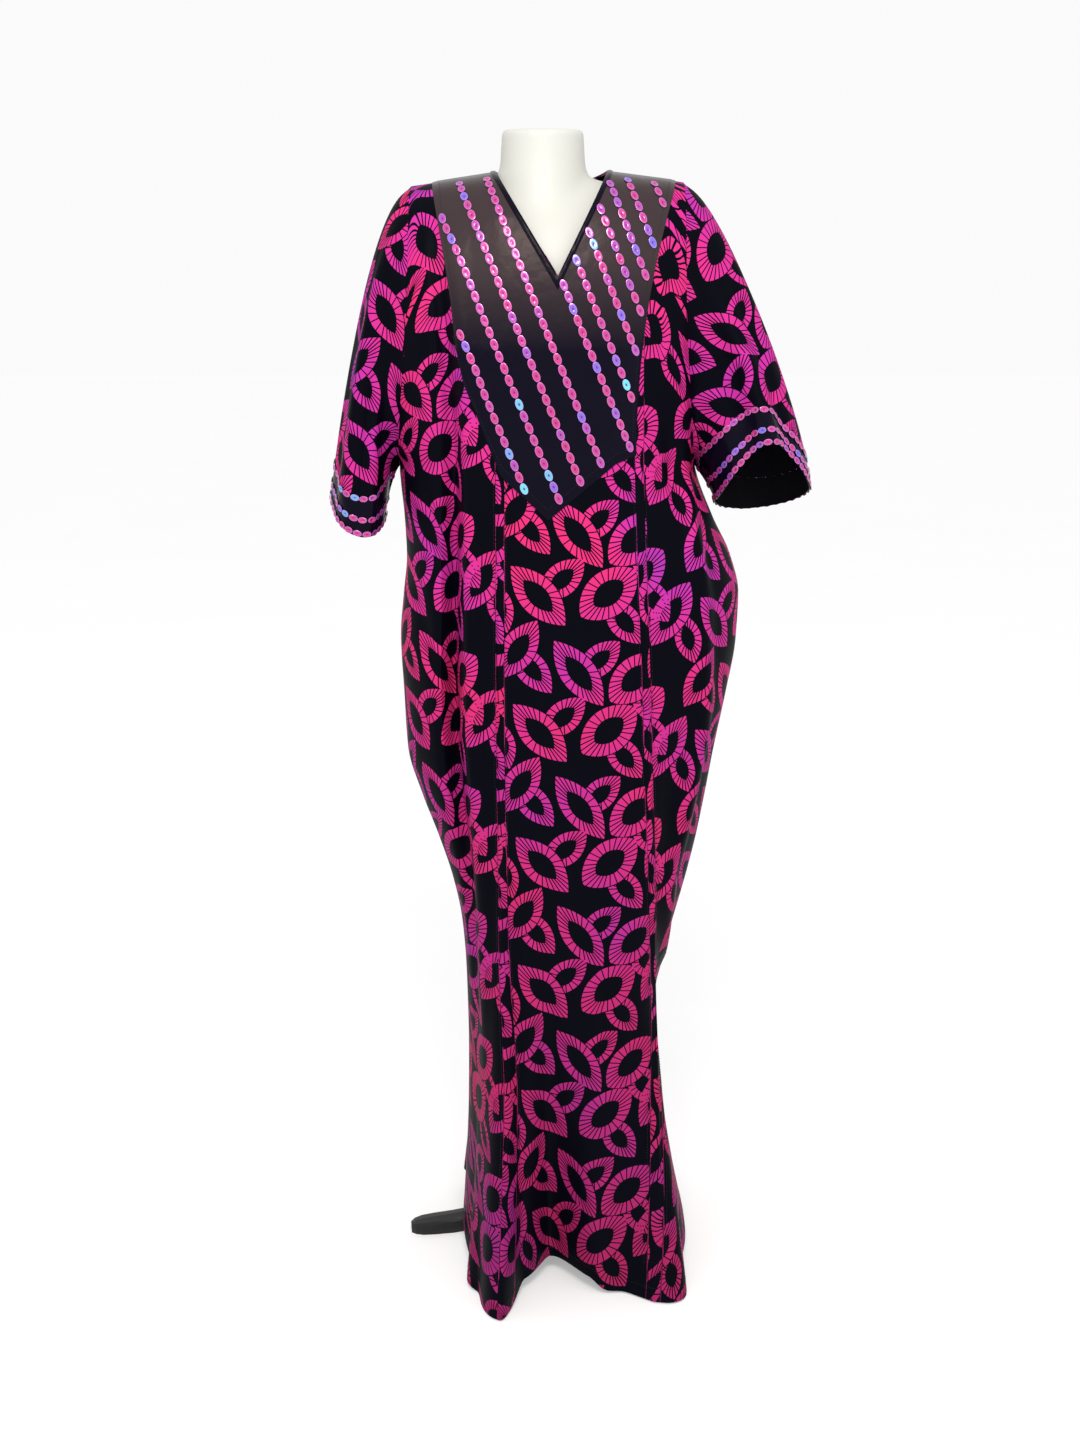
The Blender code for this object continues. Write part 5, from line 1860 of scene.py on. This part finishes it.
@dataclass(frozen=True)
class Studio:
    """The pale floor, the soft light and the camera."""

    lamps: tuple = (
        Lamp("top", (0.0, -2.2, 3.2), (0.0, -0.10, 1.35), 1.0, 62.0, (1.0, 0.95, 0.91)),
        Lamp("key", (-1.3, -2.6, 2.6), (0.0, 0.0, 1.0), 1.2, 9.0, (1.0, 0.99, 0.98)),
        Lamp("fill", (2.2, -2.0, 1.6), (0.0, 0.0, 0.9), 1.6, 4.0, (0.97, 0.98, 1.0)),
    )
    white: tuple = (1.0, 1.0, 1.0)
    surround: float = 0.96
    floor_size: float = 30.0
    floor_greys: tuple = ((0.66, 0.66, 0.66), (0.64, 0.64, 0.64))
    floor_glow: float = 0.33
    camera_place: tuple = (-0.0034, -2.51, 1.415)
    camera_down: float = 14.8
    camera_lens: float = 48.0

    def lay_floor(self) -> None:
        """The floor."""
        bpy.ops.object.select_all(action="DESELECT")
        bpy.ops.mesh.primitive_plane_add(size=self.floor_size)
        floor = bpy.context.object
        floor.name = "floor"
        nodes = Nodes("floor")
        cloud = nodes.noise(nodes.place(), 2.0, 3.0)
        floor.data.materials.append(nodes.finish(
            Base_Color=nodes.blend(cloud, *self.floor_greys), Roughness=0.7,
            Emission_Color=self.white, Emission_Strength=self.floor_glow, Specular_IOR_Level=0.1))

    def light(self) -> None:
        """The even surround and the lamps."""
        world = bpy.data.worlds.new("studio")
        bpy.context.scene.world = world
        world.use_nodes = True
        background = world.node_tree.nodes["Background"]
        background.inputs["Color"].default_value = (*self.white, 1.0)
        background.inputs["Strength"].default_value = self.surround
        for lamp in self.lamps:
            light = bpy.data.lights.new(lamp.name, "AREA")
            light.size = lamp.size
            light.energy = lamp.power
            light.color = lamp.colour
            made = bpy.data.objects.new(lamp.name, light)
            made.location = lamp.place
            facing = Vector(lamp.aim) - Vector(lamp.place)
            made.rotation_euler = facing.to_track_quat("-Z", "Y").to_euler()
            bpy.context.scene.collection.objects.link(made)

    def set_camera(self) -> None:
        """The camera, which looks down a little."""
        lens = bpy.data.cameras.new("camera")
        lens.lens = self.camera_lens
        camera = bpy.data.objects.new("camera", lens)
        camera.location = self.camera_place
        camera.rotation_euler = (math.radians(90 - self.camera_down), 0.0, 0.0)
        bpy.context.scene.collection.objects.link(camera)
        bpy.context.scene.camera = camera
        bpy.context.scene.view_settings.view_transform = "Standard"

    def build(self) -> None:
        """All of it."""
        self.lay_floor()
        self.light()
        self.set_camera()


class Cut(NamedTuple):
    """A piece of cloth before it is sewn: the width and length of its rectangle, and its own area."""

    flat: tuple
    area: Optional[float]


def declare(piece: bpy.types.Object, node: str) -> None:
    """Makes a cloth piece ride on the part in its solid's place, and hides the solid.

    Args:
        piece: The cloth piece.
        node: The solid that it stands for.
    """
    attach(piece, "root")
    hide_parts(node)
    LOG.info("%s: %d faces", piece.name, len(piece.data.polygons))


def main() -> None:
    """Builds every piece in order."""
    logging.basicConfig(level=logging.INFO, format="%(message)s")
    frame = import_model()
    Studio().build()
    robe = Robe(print_finish=LeafPrint().make(), satin=BlackSatin().make(),
                reverse=ClothReverse().make())
    form = DressForm(IvoryForm().make()).build()
    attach(form, "root")
    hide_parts("form_torso")
    declare(robe.build_panel(Side.FRONT), "front")
    declare(robe.build_panel(Side.BACK), "back")
    for end in SLEEVE_ENDS:
        sleeve, cuff = robe.build_sleeve(end)
        declare(sleeve, "sleeve_" + end.side)
        declare(cuff, "cuff_" + end.side)
    declare(robe.build_yoke(), "yoke")
    declare(robe.build_binding(), "neck_binding")
    sequins = SequinTrim(robe, "sequins", Sequin().make()).build()
    stitches = Stitches(robe, "stitches", Thread().make()).build()
    for piece, slot in ((sequins, "sequin"), (stitches, "thread")):
        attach(piece, "root")
    stand = BlackStand().make()
    for name in ("stand_pole", "stand_base"):
        for slot in frame["nodes"][name].material_slots:
            slot.material = stand


if __name__ == "__main__":
    main()
